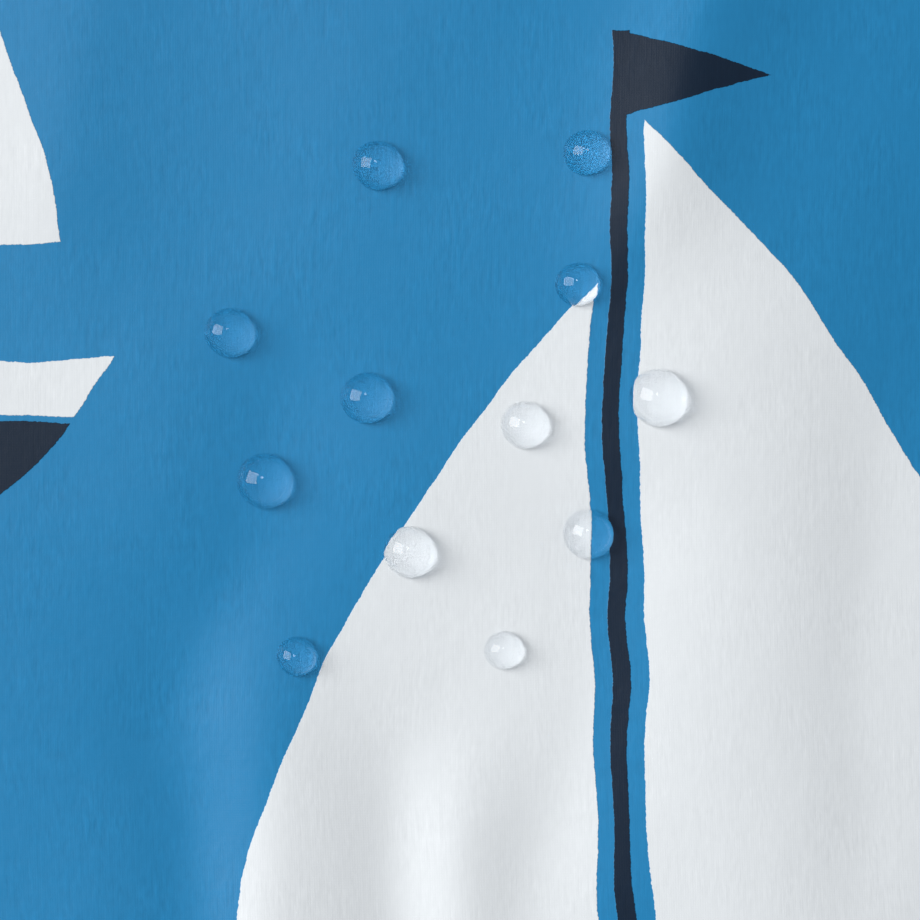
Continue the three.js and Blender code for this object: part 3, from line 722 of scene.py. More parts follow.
def boat_print(tree, vector, u, v):
    """White and navy inks of the print, from 0 to 1."""
    wave = noise_node(tree, vector, 1 / 15.0, 1.0)
    wave2 = noise_node(tree, vector, 1 / 12.0, 1.0, "3D")
    column_ = (u / COLUMN).floor()
    odd = column_.math("FLOORED_MODULO", 2.0)
    x = (u - column_ * COLUMN - COLUMN / 2) * (1 - odd * 2) + 3
    shifted = v + odd * (REPEAT / 2)
    y = shifted - (shifted / REPEAT).floor() * REPEAT - REPEAT / 2 + 8
    x = x + (wave - 0.5) * 1.7
    y = y + (wave2 - 0.5) * 1.7
    at = vector_of(tree, x, y)
    leech = far_from(tree, at, LEECH[0]) - LEECH[1]
    luff = far_from(tree, at, LUFF[0]) - LUFF[1]
    round_hull = far_from(tree, at, (3.0, 4.0)) - 58.0
    main = leech.top(2.6 - x).top(-21.0 - y + x * 0.03)
    jib = luff.top(x + 2.6).top(-18.0 - y - x * 0.05)
    hull = round_hull.top(-52.0 - y)
    swell = (abs(y + 61.0 - (x * (2 * math.pi / 23)).sin() * 1.9) - 1.3).top(abs(x - 3.0) - 31.0)
    white = main.low(jib).low(hull.top(y + 27.0).top(-32.5 - y)).low(swell)
    pennant = (0.5 - x).top(abs(y - 75.6) - 4.4 + x * 0.29)
    mast = (abs(x) - 0.85).top(y - 80.0).top(-27.0 - y)
    navy = hull.top(y + 33.1).low(mast).low(pennant)
    rough = (noise_node(tree, vector, 1 / 0.3, 1.0) - 0.5) * 0.13 + (noise_node(tree, vector, 1 / 1.1, 0.0) - 0.5) * 0.12
    return ink(white + rough, 0.06), ink(navy + rough, 0.06)


def weave(u, v, pitch):
    """A plain weave's height, 0 to 1: each thread shows as a low pillow where it goes over."""
    a, b = u * (1 / pitch), v * (1 / pitch)
    over = (a.floor() + b.floor()).math("FLOORED_MODULO", 2.0)
    p, q = abs((a * math.pi).sin()), abs((b * math.pi).sin())
    return p * (q * 0.45 + 0.55) * over + q * (p * 0.45 + 0.55) * (1 - over)


def mix_colour(tree, share, a, b):
    n = tree.nodes.new("ShaderNodeMix")
    n.data_type = "RGBA"
    tree.links.new(share.socket, n.inputs[0])
    for k, c in ((6, a), (7, b)):
        if isinstance(c, tuple):
            n.inputs[k].default_value = (*c, 1)
        else:
            tree.links.new(c, n.inputs[k])
    return n.outputs[2]


def times(tree, colour, share):
    n = tree.nodes.new("ShaderNodeVectorMath")
    n.operation = "SCALE"
    tree.links.new(colour, n.inputs[0])
    tree.links.new(share.socket, n.inputs["Scale"])
    return n.outputs[0]


BLUE = (0.019, 0.236, 0.500)
WHITE = (0.835, 0.870, 0.895)
NAVY = (0.006, 0.018, 0.040)


def new_material(name):
    m = bpy.data.materials.new(name)
    m.use_nodes = True
    return m, m.node_tree, m.node_tree.nodes["Principled BSDF"]


def add_bump(tree, shader, height, distance=0.001):
    """height is in units of distance."""
    n = tree.nodes.new("ShaderNodeBump")
    n.inputs["Strength"].default_value = 1.0
    n.inputs["Distance"].default_value = distance
    tree.links.new(height.socket, n.inputs["Height"])
    tree.links.new(n.outputs[0], shader.inputs["Normal"])


def cloth_material(name, printed):
    m, tree, shader = new_material(name)
    vector, u, v = place_on_cloth(tree)
    patchy = noise_node(tree, vector, 1 / 7.0, 2.0) * 1.8 - 0.3
    streak = (noise_node(tree, vector_of(tree, u * (1 / 0.42), v * (1 / 2.4)), 1.0, 1.0) - 0.5) * patchy
    streak2 = (noise_node(tree, vector_of(tree, u * (1 / 1.3), v * (1 / 14.0)), 1.0, 1.0) - 0.5) * patchy
    cross = noise_node(tree, vector_of(tree, u * (1 / 3.0), v * (1 / 0.5)), 1.0, 1.0) - 0.5
    slub = (noise_node(tree, vector_of(tree, u * (1 / 0.45), v * (1 / 1.3)), 1.0, 1.0) - 0.5) * patchy
    mottle = noise_node(tree, vector, 1 / 24.0, 3.0) - 0.5
    threads = weave(u, v, 0.24)
    if printed:
        white, navy = boat_print(tree, vector, u, v)
        colour = mix_colour(tree, white, BLUE, WHITE)
        colour = mix_colour(tree, navy, colour, NAVY)
        inks = white.top(navy)
        tone = (streak * 0.2 + slub * 0.18 + streak2 * 0.08 + cross * 0.02) * (1.0 - white * 0.6) + mottle * 0.05
        # The weave's low places, between the threads' pillows, are painted a touch darker: painted shade in the weave.
        tone = tone + (threads - 0.6) * 0.012 + 1.0
        height = threads * 0.0035 + inks * 0.03 + streak * 0.012 + slub * 0.01 + streak2 * 0.006 + cross * 0.003
        rough = (noise_node(tree, vector, 1 / 3.0, 2.0) - 0.5) * 0.1 - white * 0.02 + 0.4
        shader.inputs["Specular IOR Level"].default_value = 0.25
        shader.inputs["Sheen Weight"].default_value = 0.0
    else:
        colour = mix_colour(tree, mottle + 0.5, (0.12, 0.285, 0.46), (0.15, 0.33, 0.51))
        # Besides the yarn streaks, the weave's low places are painted darker here: painted shade between the threads.
        tone = streak * 0.1 + cross * 0.06 + (threads - 0.6) * 0.12 + 1.0
        height = threads * 0.035 + streak * 0.02
        rough = (noise_node(tree, vector, 1 / 3.0, 2.0) - 0.5) * 0.1 + 0.72
        shader.inputs["Specular IOR Level"].default_value = 0.3
        shader.inputs["Sheen Weight"].default_value = 0.2
    shader.inputs["Sheen Roughness"].default_value = 0.4
    tree.links.new(times(tree, colour, tone), shader.inputs["Base Color"])
    tree.links.new(rough.socket, shader.inputs["Roughness"])
    small = noise_node(tree, vector, 1 / 2.6, 2.0) * 0.03
    add_bump(tree, shader, height + small)
    return m


def object_vector(tree, scale):
    n = tree.nodes.new("ShaderNodeTexCoord")
    s = tree.nodes.new("ShaderNodeVectorMath")
    s.operation = "SCALE"
    s.inputs["Scale"].default_value = scale
    tree.links.new(n.outputs["Object"], s.inputs[0])
    return s.outputs[0]


def thread_material():
    m, tree, shader = new_material("sewing_thread")
    vector = object_vector(tree, 1000)
    fuzz = noise_node(tree, vector, 1 / 0.12, 2.0, "3D")
    colour = mix_colour(tree, fuzz, (0.028, 0.20, 0.42), (0.07, 0.31, 0.58))
    tree.links.new(colour, shader.inputs["Base Color"])
    tree.links.new((fuzz * 0.2 + 0.45).socket, shader.inputs["Roughness"])
    shader.inputs["Sheen Weight"].default_value = 0.15
    add_bump(tree, shader, fuzz * 0.05)
    return m


def stud_material():
    m, tree, shader = new_material("press_stud_paint")
    vector = object_vector(tree, 1000)
    peel = noise_node(tree, vector, 1 / 0.9, 2.0, "3D")
    wear = noise_node(tree, vector, 1 / 5.0, 3.0, "3D")
    colour = mix_colour(tree, wear, (0.012, 0.024, 0.048), (0.02, 0.036, 0.066))
    tree.links.new(colour, shader.inputs["Base Color"])
    tree.links.new((peel * 0.06 + wear * 0.1 + 0.2).socket, shader.inputs["Roughness"])
    shader.inputs["Coat Weight"].default_value = 0.5
    shader.inputs["Coat Roughness"].default_value = 0.12
    add_bump(tree, shader, peel * 0.012)
    return m


def water_material():
    m, tree, shader = new_material("water")
    shader.inputs["Base Color"].default_value = (0.97, 0.985, 1.0, 1)
    shader.inputs["Transmission Weight"].default_value = 1.0
    shader.inputs["IOR"].default_value = 1.333
    shader.inputs["Roughness"].default_value = 0.0
    # A bead passes on some of the light that would otherwise leave a hard dark shadow under it.
    passing = tree.nodes.new("ShaderNodeBsdfTransparent")
    passing.inputs[0].default_value = (0.34, 0.35, 0.36, 1)
    path = tree.nodes.new("ShaderNodeLightPath")
    mix = tree.nodes.new("ShaderNodeMixShader")
    tree.links.new(path.outputs["Is Shadow Ray"], mix.inputs[0])
    tree.links.new(shader.outputs[0], mix.inputs[1])
    tree.links.new(passing.outputs[0], mix.inputs[2])
    tree.links.new(mix.outputs[0], tree.nodes["Material Output"].inputs[0])
    return m


def floor_material():
    m, tree, shader = new_material("pale_floor")
    vector = object_vector(tree, 1)
    grain = noise_node(tree, vector, 6.0, 4.0, "3D")
    colour = mix_colour(tree, grain, (0.70, 0.69, 0.67), (0.76, 0.75, 0.735))
    tree.links.new(colour, shader.inputs["Base Color"])
    tree.links.new((grain * 0.1 + 0.75).socket, shader.inputs["Roughness"])
    return m


PRINTED = cloth_material("printed_coated_cloth", True)
WRONG_SIDE = cloth_material("cloth_wrong_side", False)
THREAD = thread_material()
STUD_PAINT = stud_material()
WATER = water_material()
FLOOR = floor_material()

# ---------------------------------------------------------------- camera, lights and floor
VIEW_X, VIEW_Y = -100.0, 250.0  # the place on the right front that the photo's frame shows
VIEW_WIDE = 92.0
CLOTH_Z = 11.0
LENS, SENSOR = 90.0, 36.0
view_high = VIEW_WIDE * LENS / SENSOR

camera_data = bpy.data.cameras.new("camera")
camera_data.lens, camera_data.sensor_width = LENS, SENSOR
camera_data.clip_start, camera_data.clip_end = 0.01, 50
camera_data.dof.use_dof = False
camera = bpy.data.objects.new("camera", camera_data)
camera.location = (VIEW_X / 1000, (VIEW_Y - COAT_LENGTH / 2) / 1000, (CLOTH_Z + view_high) / 1000)
bpy.context.scene.collection.objects.link(camera)
bpy.context.scene.camera = camera


def area_light(name, direction, distance, wide, high, power, colour=(1, 1, 1)):
    """A soft box that looks at the framed place from this direction: degrees from straight up, and degrees round from +X."""
    data = bpy.data.lights.new(name, "AREA")
    data.shape, data.size, data.size_y = "RECTANGLE", wide, high
    data.energy, data.color = power, colour
    thing = bpy.data.objects.new(name, data)
    tilt, turn = (math.radians(k) for k in direction)
    back = np.array([math.sin(tilt) * math.cos(turn), math.sin(tilt) * math.sin(turn), math.cos(tilt)])
    aim = np.array([VIEW_X / 1000, (VIEW_Y - COAT_LENGTH / 2) / 1000, CLOTH_Z / 1000])
    thing.location = aim + back * distance
    thing.rotation_mode = "QUATERNION"
    thing.rotation_quaternion = Vector(back).to_track_quat("Z", "Y")
    thing.visible_camera = False
    bpy.context.scene.collection.objects.link(thing)
    return thing


key = area_light("key_softbox", (52, 166), 5.0, 3.35, 3.9, 283)
fill = area_light("small_softbox", (19, 130), 1.9, 0.3, 0.3, 2.5)

world = bpy.data.worlds.new("studio")
world.use_nodes = True
world.node_tree.nodes["Background"].inputs[0].default_value = (0.93, 0.96, 1.0, 1)
world.node_tree.nodes["Background"].inputs[1].default_value = 0.24
bpy.context.scene.world = world
bpy.context.scene.view_settings.view_transform = "Standard"

floor_points = np.array([[-12, -12, -0.0006], [12, -12, -0.0006], [12, 12, -0.0006], [-12, 12, -0.0006]], float)
floor = build_object("floor", floor_points, np.array([[0, 1, 2, 3]]), slots=(FLOOR,))

# ---------------------------------------------------------------- the pieces
PRINT_AT = {
    "front_right": (132.0, 8.0),
    "front_left": (40.0, 30.0),
    "back": (10.0, 60.0),
    "sleeve_right": (20.0, 10.0),
    "sleeve_left": (66.0, 84.0),
    "hood_right": (8.0, 24.0),
    "hood_left": (-8.0, 24.0),
    "front_band": (40.0, 30.0),
}


def walk(points, axis):
    """Distance along the grid from its first row or column."""
    step = np.linalg.norm(np.diff(points, axis=axis), axis=-1)
    long = np.cumsum(step, axis=axis)
    return np.insert(long, 0, 0, axis=axis)


def across_cloth(points, start, side=1):
    """A panel's places on the cloth: its grain runs along y, and its slopes across the grain are unrolled."""
    wide = walk(points[..., [0, 2]], 1)
    return np.stack([points[:, [start], 0] + side * (wide - wide[:, [start]]), points[..., 1]], -1)


def finish_piece(thing, *nodes, slot="shell_cloth"):
    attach(thing, "root")
    if nodes:
        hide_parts(*nodes)
    return thing


def declare(thing):
    """Reads each face's material and area and the places on the cloth, uses none of them, and gives the piece back."""
    mesh = thing.data
    faces = np.zeros(len(mesh.polygons), int)
    mesh.polygons.foreach_get("material_index", faces)
    area = np.zeros(len(faces))
    mesh.polygons.foreach_get("area", area)
    rim = np.zeros(len(mesh.loops) * 2)
    mesh.uv_layers["cloth"].data.foreach_get("uv", rim)
    return thing


def make_front(name, side, past, lift, near):
    v, s, long = front_grid(side, past, near)
    points = front_face(v, s, long, side, lift)
    normals = normals_of(points, side)
    zero = int(np.argmin(np.abs(s[0])))
    uv = across_cloth(points, zero, side) + np.array(PRINT_AT[name])
    # The neckline's edge starts where the lap ends.
    neck_row = int(np.argmin(np.abs(v[:, 0] - FRONT_NECK)))
    keep = np.ones((v.shape[0] - 1, v.shape[1] - 1), bool)
    keep[neck_row:, :zero] = False
    to_side = (1 - np.abs(s)) * long
    stitched = int(np.argmin(np.abs(v_at(HEM_STITCH) - v[:, 0])))
    inside = to_side[stitched] > 2.5
    stitch(name, points[stitched][inside], normals[stitched][inside])
    armhole = v[:, 0] > UNDERARM + 0.15
    armhole &= v[:, 0] < SHOULDER - 0.1
    c = int(np.argmin(np.abs(to_side[0] - 2.4)))
    stitch(name, points[armhole, c], normals[armhole, c], 3.0)
    c = zero + 5
    necked = (v[:, 0] > FRONT_NECK + 0.12) & (v[:, 0] < SHOULDER - 0.1)
    stitch(name, points[necked, c], normals[necked, c], 3.0)
    k = int(np.argmin(np.abs(v_at(HEM - 0.8) - v[:, 0])))
    all_points, all_normals, all_uv, added = turn_in(points, normals, uv, k)
    turned = np.ones((added, keep.shape[1]), bool) & (to_side[0] > 3.4)[None, 1:] & (to_side[0] > 3.4)[None, :-1]
    turned &= (s[0] * long[0] > -past + 1.5)[None, :-1]
    keep = np.concatenate([turned, keep])
    piece = cloth_piece(name + "_cloth", all_points, all_normals, all_uv, keep, flip=side < 0)
    finish_piece(piece, name)
    declare(piece)
    return piece, points, normals


right, right_points, right_normals = make_front("front_right", -1, UNDER_LAP, lambda x: 0 * x, (196, 304))
left, left_points, left_normals = make_front("front_left", 1, LAP_HALF, lap_lift, None)


# ---------------------------------------------------------------- water on the framed cloth
# Photo pixels across and down, and each bead's width in pixels.
BEADS = [
    (378, 166, 50),
    (586, 154, 46),
    (577, 285, 44),
    (230, 333, 50),
    (367, 398, 52),
    (657, 398, 58),
    (525, 425, 48),
    (265, 481, 56),
    (410, 552, 52),
    (588, 534, 50),
    (297, 656, 40),
    (504, 650, 39),
]


def bead_points(k, across_px, down_px, wide_px, around=72, up=44):
    """A sessile drop: an oblate dome that leans over its foot. It stands on the cloth's own slope."""
    x0 = VIEW_X + (across_px - 460) * VIEW_WIDE / 920
    y0 = VIEW_Y - (down_px - 460) * VIEW_WIDE / 920
    radius = wide_px * VIEW_WIDE / 920 / 2
    wx, wy = wobble(right_points[..., 0], right_points[..., 1])
    near = np.argmin((wx - x0) ** 2 + (wy - y0) ** 2)
    foot = right_points.reshape(-1, 3)[near]
    n = right_normals.reshape(-1, 3)[near]
    flat_x, flat_y = wx.reshape(-1)[near], wy.reshape(-1)[near]
    rng = np.random.default_rng(700 + k)
    tall = radius * rng.uniform(0.84, 0.9)
    foot_angle = math.radians(96)
    turn = np.linspace(0, 2 * math.pi, around, endpoint=False)
    lean = math.radians(-38) + rng.uniform(-0.3, 0.3)
    stretch = rng.uniform(0.012, 0.026)
    outline = 1 + stretch * np.cos(2 * (turn - rng.uniform(-0.6, 0.1))) + 0.005 * np.cos(3 * turn + rng.uniform(0, 6))
    polar = np.linspace(0, foot_angle, up)[1:]
    ring_r = np.sin(polar) * radius
    ring_z = tall * (np.cos(polar) - math.cos(foot_angle))
    ring_r = np.append(ring_r, ring_r[-1] * 0.97)
    ring_z = np.append(ring_z, -0.22)
    rows = []
    for r, z in zip(ring_r, ring_z):
        # The bead's crown leans a little down the light's shadow side, as gravity and the cloth's slope pull it.
        shift = 0.03 * radius * max(0.0, z) / tall
        dx = r * outline * np.cos(turn) + shift * math.cos(lean)
        dy = r * outline * np.sin(turn) + shift * math.sin(lean)
        rows.append(np.stack([x0 + dx, y0 + dy, z + 0 * dx], -1))
    points = np.concatenate([np.array([[x0, y0, ring_z[0] + (tall - tall * math.cos(polar[0]))]]), np.concatenate(rows)])
    slope_z = foot[2] - (n[0] * (points[:, 0] - flat_x) + n[1] * (points[:, 1] - flat_y)) / n[2]
    points[:, 2] += slope_z
    bottom = points[-around:].mean(0, keepdims=True)
    points = np.concatenate([points, bottom])
    tris = []
    ring = lambda r, c: 1 + r * around + c % around
    for c in range(around):
        tris.append([0, ring(0, c), ring(0, c + 1)])
        for r in range(len(ring_r) - 1):
            tris.append([ring(r, c), ring(r + 1, c), ring(r + 1, c + 1)])
            tris.append([ring(r, c), ring(r + 1, c + 1), ring(r, c + 1)])
        tris.append([ring(len(ring_r) - 1, c), len(points) - 1, ring(len(ring_r) - 1, c + 1)])
    points[:, 1] -= COAT_LENGTH / 2
    return points / 1000, np.array(tris)


bead_vertices, bead_faces, count = [], [], 0
for k, bead in enumerate(BEADS):
    p, f = bead_points(k, *bead)
    bead_vertices.append(p)
    bead_faces.append(f + count)
    count += len(p)
beads = build_object("water_beads", np.concatenate(bead_vertices), np.concatenate(bead_faces), slots=(WATER,), sharp=3.1)
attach(beads, "root")

# ---------------------------------------------------------------- the back
def make_back():
    v = np.array(
        [v_at(d) for d in HEM_ROWS]
        + [*rows_between(v_at(HEM_ROWS[-1]), UNDERARM, 4.2), UNDERARM, *[UNDERARM + d / 28 for d in (0.25, 0.7, 1.4, 2.4)]]
        + [*rows_between(UNDERARM + 2.4 / 28, SHOULDER - 8.6 / 24, 3.6)]
        + [SHOULDER - d / 24 for d in EDGE_COLUMNS[::-1] if d < 9]
    )[:, None]
    (ox, oy), back_y, hat_share = body_out(v), column(BODY["back_y"], v), column(BODY["hat"], v)
    middle = np.unique(np.concatenate([np.linspace(-0.925, 0.925, 99), [-NECK_SHARE, NECK_SHARE]]))
    edge = np.array(EDGE_COLUMNS) / ox
    s = np.concatenate([-1 + edge, np.broadcast_to(middle, (len(v), len(middle))), (1 - edge)[:, ::-1]], axis=1)
    v = np.broadcast_to(v, s.shape)
    a = np.abs(s)
    hat = np.where(a < NECK_SHARE, (a / NECK_SHARE) ** 1.6, (1 - a) / (1 - NECK_SHARE))
    rise = 580 - lerp(568, 545, NECK_SHARE)
    x, y = s * ox, lerp(back_y, oy, a) + rise * hat * hat_share
    past = np.maximum(0, v - UNDERARM) * 28
    side_flat = quarter(np.hypot((1 - a) * ox, past) / SEAM_ROUND)
    shoulder_flat = 1 - smooth((a - NECK_SHARE) / 0.03) * (1 - quarter((SHOULDER - v) * 24 / SEAM_ROUND))
    z = (SEAM_Z - 0.05) * (1 - side_flat * shoulder_flat)
    points = np.stack([x, y, z], -1)
    normals = normals_of(points, -1)
    uv = np.stack([-x, y], -1) + np.array(PRINT_AT["back"])
    stitched = HEM_ROWS.index(15.5)
    inside = (1 - a[stitched]) * ox[stitched] > 3
    stitch("back", points[stitched][inside], normals[stitched][inside])
    k = HEM_ROWS.index(17.2)
    points, normals, uv, added = turn_in(points, normals, uv, k)
    keep = np.ones((len(points) - 1, s.shape[1] - 1), bool)
    inner = (1 - a[0]) * ox[0] > 3.4
    keep[:added] &= (inner[1:] & inner[:-1])[None]
    piece = cloth_piece("back_cloth", points, normals, uv, keep, flip=True)
    finish_piece(piece, "back")
    return declare(piece)


# ---------------------------------------------------------------- the band down the lap
def stud_dip(y):
    """The cloth is drawn in round each press stud."""
    z = 0.0
    for i in range(STUD_COUNT):
        z = z + np.exp(-(((y - STUD_FROM_HEM - i * STUD_SPACING) / 9.5) ** 2))
    return z


def make_band():
    v = front_rows(None)
    v = v[v <= FRONT_NECK][:, None]
    x = np.array([0, 0.05, 0.2, 0.45, 0.85, 1.4, 2.3, 3.6, 5.4, 7.6, 10, 12.6, 15.2]) - LAP_HALF
    x = np.concatenate([x, [0], -x[::-1]])[None]
    ox = body_out(v)[0]
    s = x / ox
    v, s, x = np.broadcast_arrays(v, s, x)
    y = front_plan(v, s)[1]
    under = front_top(v, s, 1) + lap_lift(x) + hem_relief(y, x, 35) * smooth((40 - y) / 10)
    to_edge = np.minimum(np.minimum(LAP_HALF - np.abs(x), y + 0.0), 525 - y)
    long_edge = LAP_HALF - np.abs(x)
    top = under + GAP + WALL - 1.0 * (1 - quarter(to_edge / 1.2))
    top = top - 0.26 * groove(long_edge - 2.3, 0.8) + 0.2 * pucker(y + x, 41) * groove(long_edge - 3, 4.5)
    top = top - 0.34 * stud_dip(y) * np.exp(-((x / 10) ** 2)) + 0.12 * noise(x, y, 12, 45)
    points = np.stack([x, y, top], -1)
    normals = normals_of(points, 1)
    inner = np.stack([x, y, under + 0.12 + 0 * x], -1)
    uv = np.stack([x, y], -1) + np.array(PRINT_AT["front_band"])
    for c in (6, x.shape[1] - 7):
        inside = (y[:, c] > 2.3) & (y[:, c] < 522.7)
        stitch("front_band", points[inside, c], normals[inside, c])
    across_ends = np.arange(6, x.shape[1] - 6)
    for d in (2.3, 522.7):
        r = int(np.argmin(np.abs(y[:, 12] - d)))
        stitch("front_band", points[r, across_ends], normals[r, across_ends])
    piece = cloth_piece("front_band_cloth", points, normals, uv, inner=inner)
    finish_piece(piece, "front_band")
    return declare(piece)


# ---------------------------------------------------------------- the sleeves
BELL = 2.6  # how square-shouldered a sleeve's section is


def sleeve_plan(u, t):
    v = lerp(SHOULDER, UNDERARM, t)
    ax, ay = body_out(v)
    nx, ny = left_of(body_out, clamp(v, UNDERARM + 0.05, SHOULDER - 0.05))
    sin, cos = math.sin(SLEEVE_ANGLE), math.cos(SLEEVE_ANGLE)
    cx = 172 + SLEEVE_LENGTH * sin - CUFF_WIDTH * cos * t
    cy = 545 - SLEEVE_LENGTH * cos - CUFF_WIDTH * sin * t
    bow = sleeve_column("out", u) * (1 - t) ** 2
    return lerp(ax - nx * 0.12, cx, u) + cos * bow, lerp(ay - ny * 0.12, cy, u) + sin * bow


def sleeve_column(name, u):
    """Along the sleeve's length the table's rows are unevenly spaced."""
    fine = np.linspace(0, len(SLEEVE_ROWS) - 1, 301)
    return column(SLEEVE[name], np.interp(u, np.interp(fine, np.arange(len(SLEEVE_ROWS)), SLEEVE["at"]), fine))


def sleeve_rows(t):
    """Shares of the sleeve's length for each place t across it, row by row, from the armhole to the cuff."""
    x0, y0 = sleeve_plan(0 * t, t)
    x1, y1 = sleeve_plan(0 * t + 1, t)
    long = np.hypot(x1 - x0, y1 - y0)
    first = np.array([0, 0.15, 0.5, 1.1, 1.9, 2.9, 4.2, 6, 8.2, 11])[:, None]
    last = np.array(HEM_ROWS[::-1])[:, None]
    a, b = first[-1] / long, 1 - last[0] / long
    middle = np.linspace(0, 1, 112)[1:-1, None]
    return np.concatenate([first / long, lerp(a, b, middle), 1 - last / long]), long


def armhole_edge(v, side):
    rise = np.maximum(0, quarter(np.abs(v - UNDERARM) * 28 / SEAM_ROUND)) * quarter((SHOULDER - v) * 24 / SEAM_ROUND)
    return SEAM_Z + 0.05 + (front_top(v, 1 + 0 * v, side) - SEAM_Z - 0.05) * rise


def make_sleeve(name, side):
    quarter_turn = np.radians(np.linspace(0, 90, 9))
    phi = np.linspace(0, math.pi, 84)
    # Across the top, t runs from 0 over the arm to 1 under it.
    cosine = np.cos(phi)
    top_t = 0.5 - 0.5 * np.sign(cosine) * np.abs(cosine) ** (2 / BELL)
    rise = np.maximum(0, np.sin(phi)) ** (2 / BELL)
    u, long = sleeve_rows(top_t[None])
    x, y = sleeve_plan(u, top_t[None])
    fold = lerp(SEAM_Z, sleeve_column("fold", u), smooth(u / 0.1))
    v = lerp(SHOULDER, UNDERARM, top_t[None]) + 0 * u
    tall = 2 * sleeve_column("fold", u) + sleeve_column("puff", u) - fold
    own = fold + (tall + folds_at(side * x, y)) * rise
    z = lerp(armhole_edge(v, side), own, smooth(u / 0.12))
    z = z + relief(side * x, y) * rise**1.5 * smooth(u / 0.05)
    z = z - 0.85 * groove(u * long, 1.3) * armhole_share(v)
    z = z + 0.2 * pucker(y * 1.2, 51) * groove(u * long - 1.5, 5) * armhole_share(v)
    from_cuff = (1 - u) * long
    z = z + hem_relief(from_cuff, x + y, 53) * rise * smooth((40 - from_cuff) / 10)
    top = np.stack([x, y, z], -1)
    # Round the folds to the seams underneath.
    ends = []
    for c, towards_other in ((0, 1), (-1, -1)):
        ux = u[:, [c]]
        other = sleeve_plan(ux, 0 * ux + (1 if c == 0 else 0))
        here = sleeve_plan(ux, 0 * ux + (0 if c == 0 else 1))
        way = unit(np.stack([other[0] - here[0], other[1] - here[1]], -1))
        f = fold[:, [c]]
        a = quarter_turn[1:][None]
        deep = f * (1 - np.cos(a))
        ends.append(np.stack([here[0] + way[..., 0] * deep, here[1] + way[..., 1] * deep, f * (1 - np.sin(a))], -1))
    points = np.concatenate([ends[0][:, ::-1], top, ends[1]], axis=1)
    points[..., 0] *= side
    normals = normals_of(points, side)
    lead = len(quarter_turn) - 1
    around = walk(points, 1)
    sin, cos = math.sin(SLEEVE_ANGLE), math.cos(SLEEVE_ANGLE)
    uv = np.stack([around, -(side * points[..., 0] * sin - points[..., 1] * cos)], -1) + np.array(PRINT_AT[name])
    rows = HEM_ROWS.index(15.5) + 1
    stitch(name, points[-rows, lead - 4 : -(lead - 4)], normals[-rows, lead - 4 : -(lead - 4)])
    flipped = [k[::-1] for k in (points, normals, uv)]
    all_points, all_normals, all_uv, _ = turn_in(*flipped, HEM_ROWS.index(17.2))
    piece = cloth_piece(name + "_top_cloth", all_points, all_normals, all_uv, flip=side > 0)
    finish_piece(piece, name + "_top")
    declare(piece)
    # The under sleeve lies flat between those seams.
    t = np.linspace(0, 1, 44)[None]
    u = np.concatenate([u[:, :1] * (1 - t) + u[:, -1:] * t], axis=1)
    x, y = sleeve_plan(u, 0 * u + t)
    x0, y0 = sleeve_plan(u[:, :1], 0 * u[:, :1])
    x1, y1 = sleeve_plan(u[:, -1:], 0 * u[:, :1] + 1)
    wide = np.hypot(x1 - x0, y1 - y0)
    t0 = (lerp(SEAM_Z, sleeve_column("fold", u[:, :1]), smooth(u[:, :1] / 0.1)) + 0.1) / wide
    t1 = 1 - (lerp(SEAM_Z, sleeve_column("fold", u[:, -1:]), smooth(u[:, -1:] / 0.1)) + 0.1) / wide
    tt = lerp(t0, t1, t)
    x, y = sleeve_plan(u, tt)
    points = np.stack([side * x, y, 0 * x], -1)
    normals = np.zeros_like(points)
    normals[..., 2] = -1
    uv = np.stack([wide * tt, -(x * sin - y * cos)], -1) + np.array(PRINT_AT[name])
    flipped = [k[::-1] for k in (points, normals, uv)]
    all_points, all_normals, all_uv, _ = turn_in(*flipped, HEM_ROWS.index(17.2))
    piece = cloth_piece(name + "_under_cloth", all_points, all_normals, all_uv, flip=side < 0)
    finish_piece(piece, name + "_under")
    declare(piece)


# ---------------------------------------------------------------- the hood
def hood_column(name, w):
    return column(HOOD[name], w)


def hood_back_plan(w, q):
    dip = 21.6 * (q**1.6 - q) * np.maximum(0, 1 - w)
    return hood_column("out_x", w) * q, lerp(hood_column("back_y", w), hood_column("out_y", w), q) + dip + 0.12


def hood_top_plan(w, q):
    nx, ny = body_in(lerp(SHOULDER, FRONT_NECK, q))
    sx, sy = lerp(72, 0, q), lerp(580, 525, q)
    share = np.maximum(0, 1 - w / 2) ** 2
    ox, oy = left_of(body_in, clamp(lerp(SHOULDER, FRONT_NECK, q), FRONT_NECK + 0.05, SHOULDER - 0.05))
    away = 0.12 * np.maximum(0, 1 - w) * smooth(q / 0.15)
    return (
        lerp(hood_column("out_x", w), hood_column("rim_x", w), q) + (nx - sx) * share + ox * away,
        lerp(hood_column("out_y", w), hood_column("rim_y", w), q) + (ny - sy) * share + oy * away + 0.12 * (1 - smooth(q / 0.15)),
    )


def neck_edge(v, side):
    x = body_in(v)[0]
    z = front_top(v, 0 * v, side) + (lap_lift(x) if side > 0 else 0)
    return SEAM_Z + 0.05 + (z - SEAM_Z - 0.05) * quarter((SHOULDER - v) * 24 / SEAM_ROUND)


HOOD_UNROLLED = 276.6  # where the centre seam comes when the hood is unrolled over its widest place


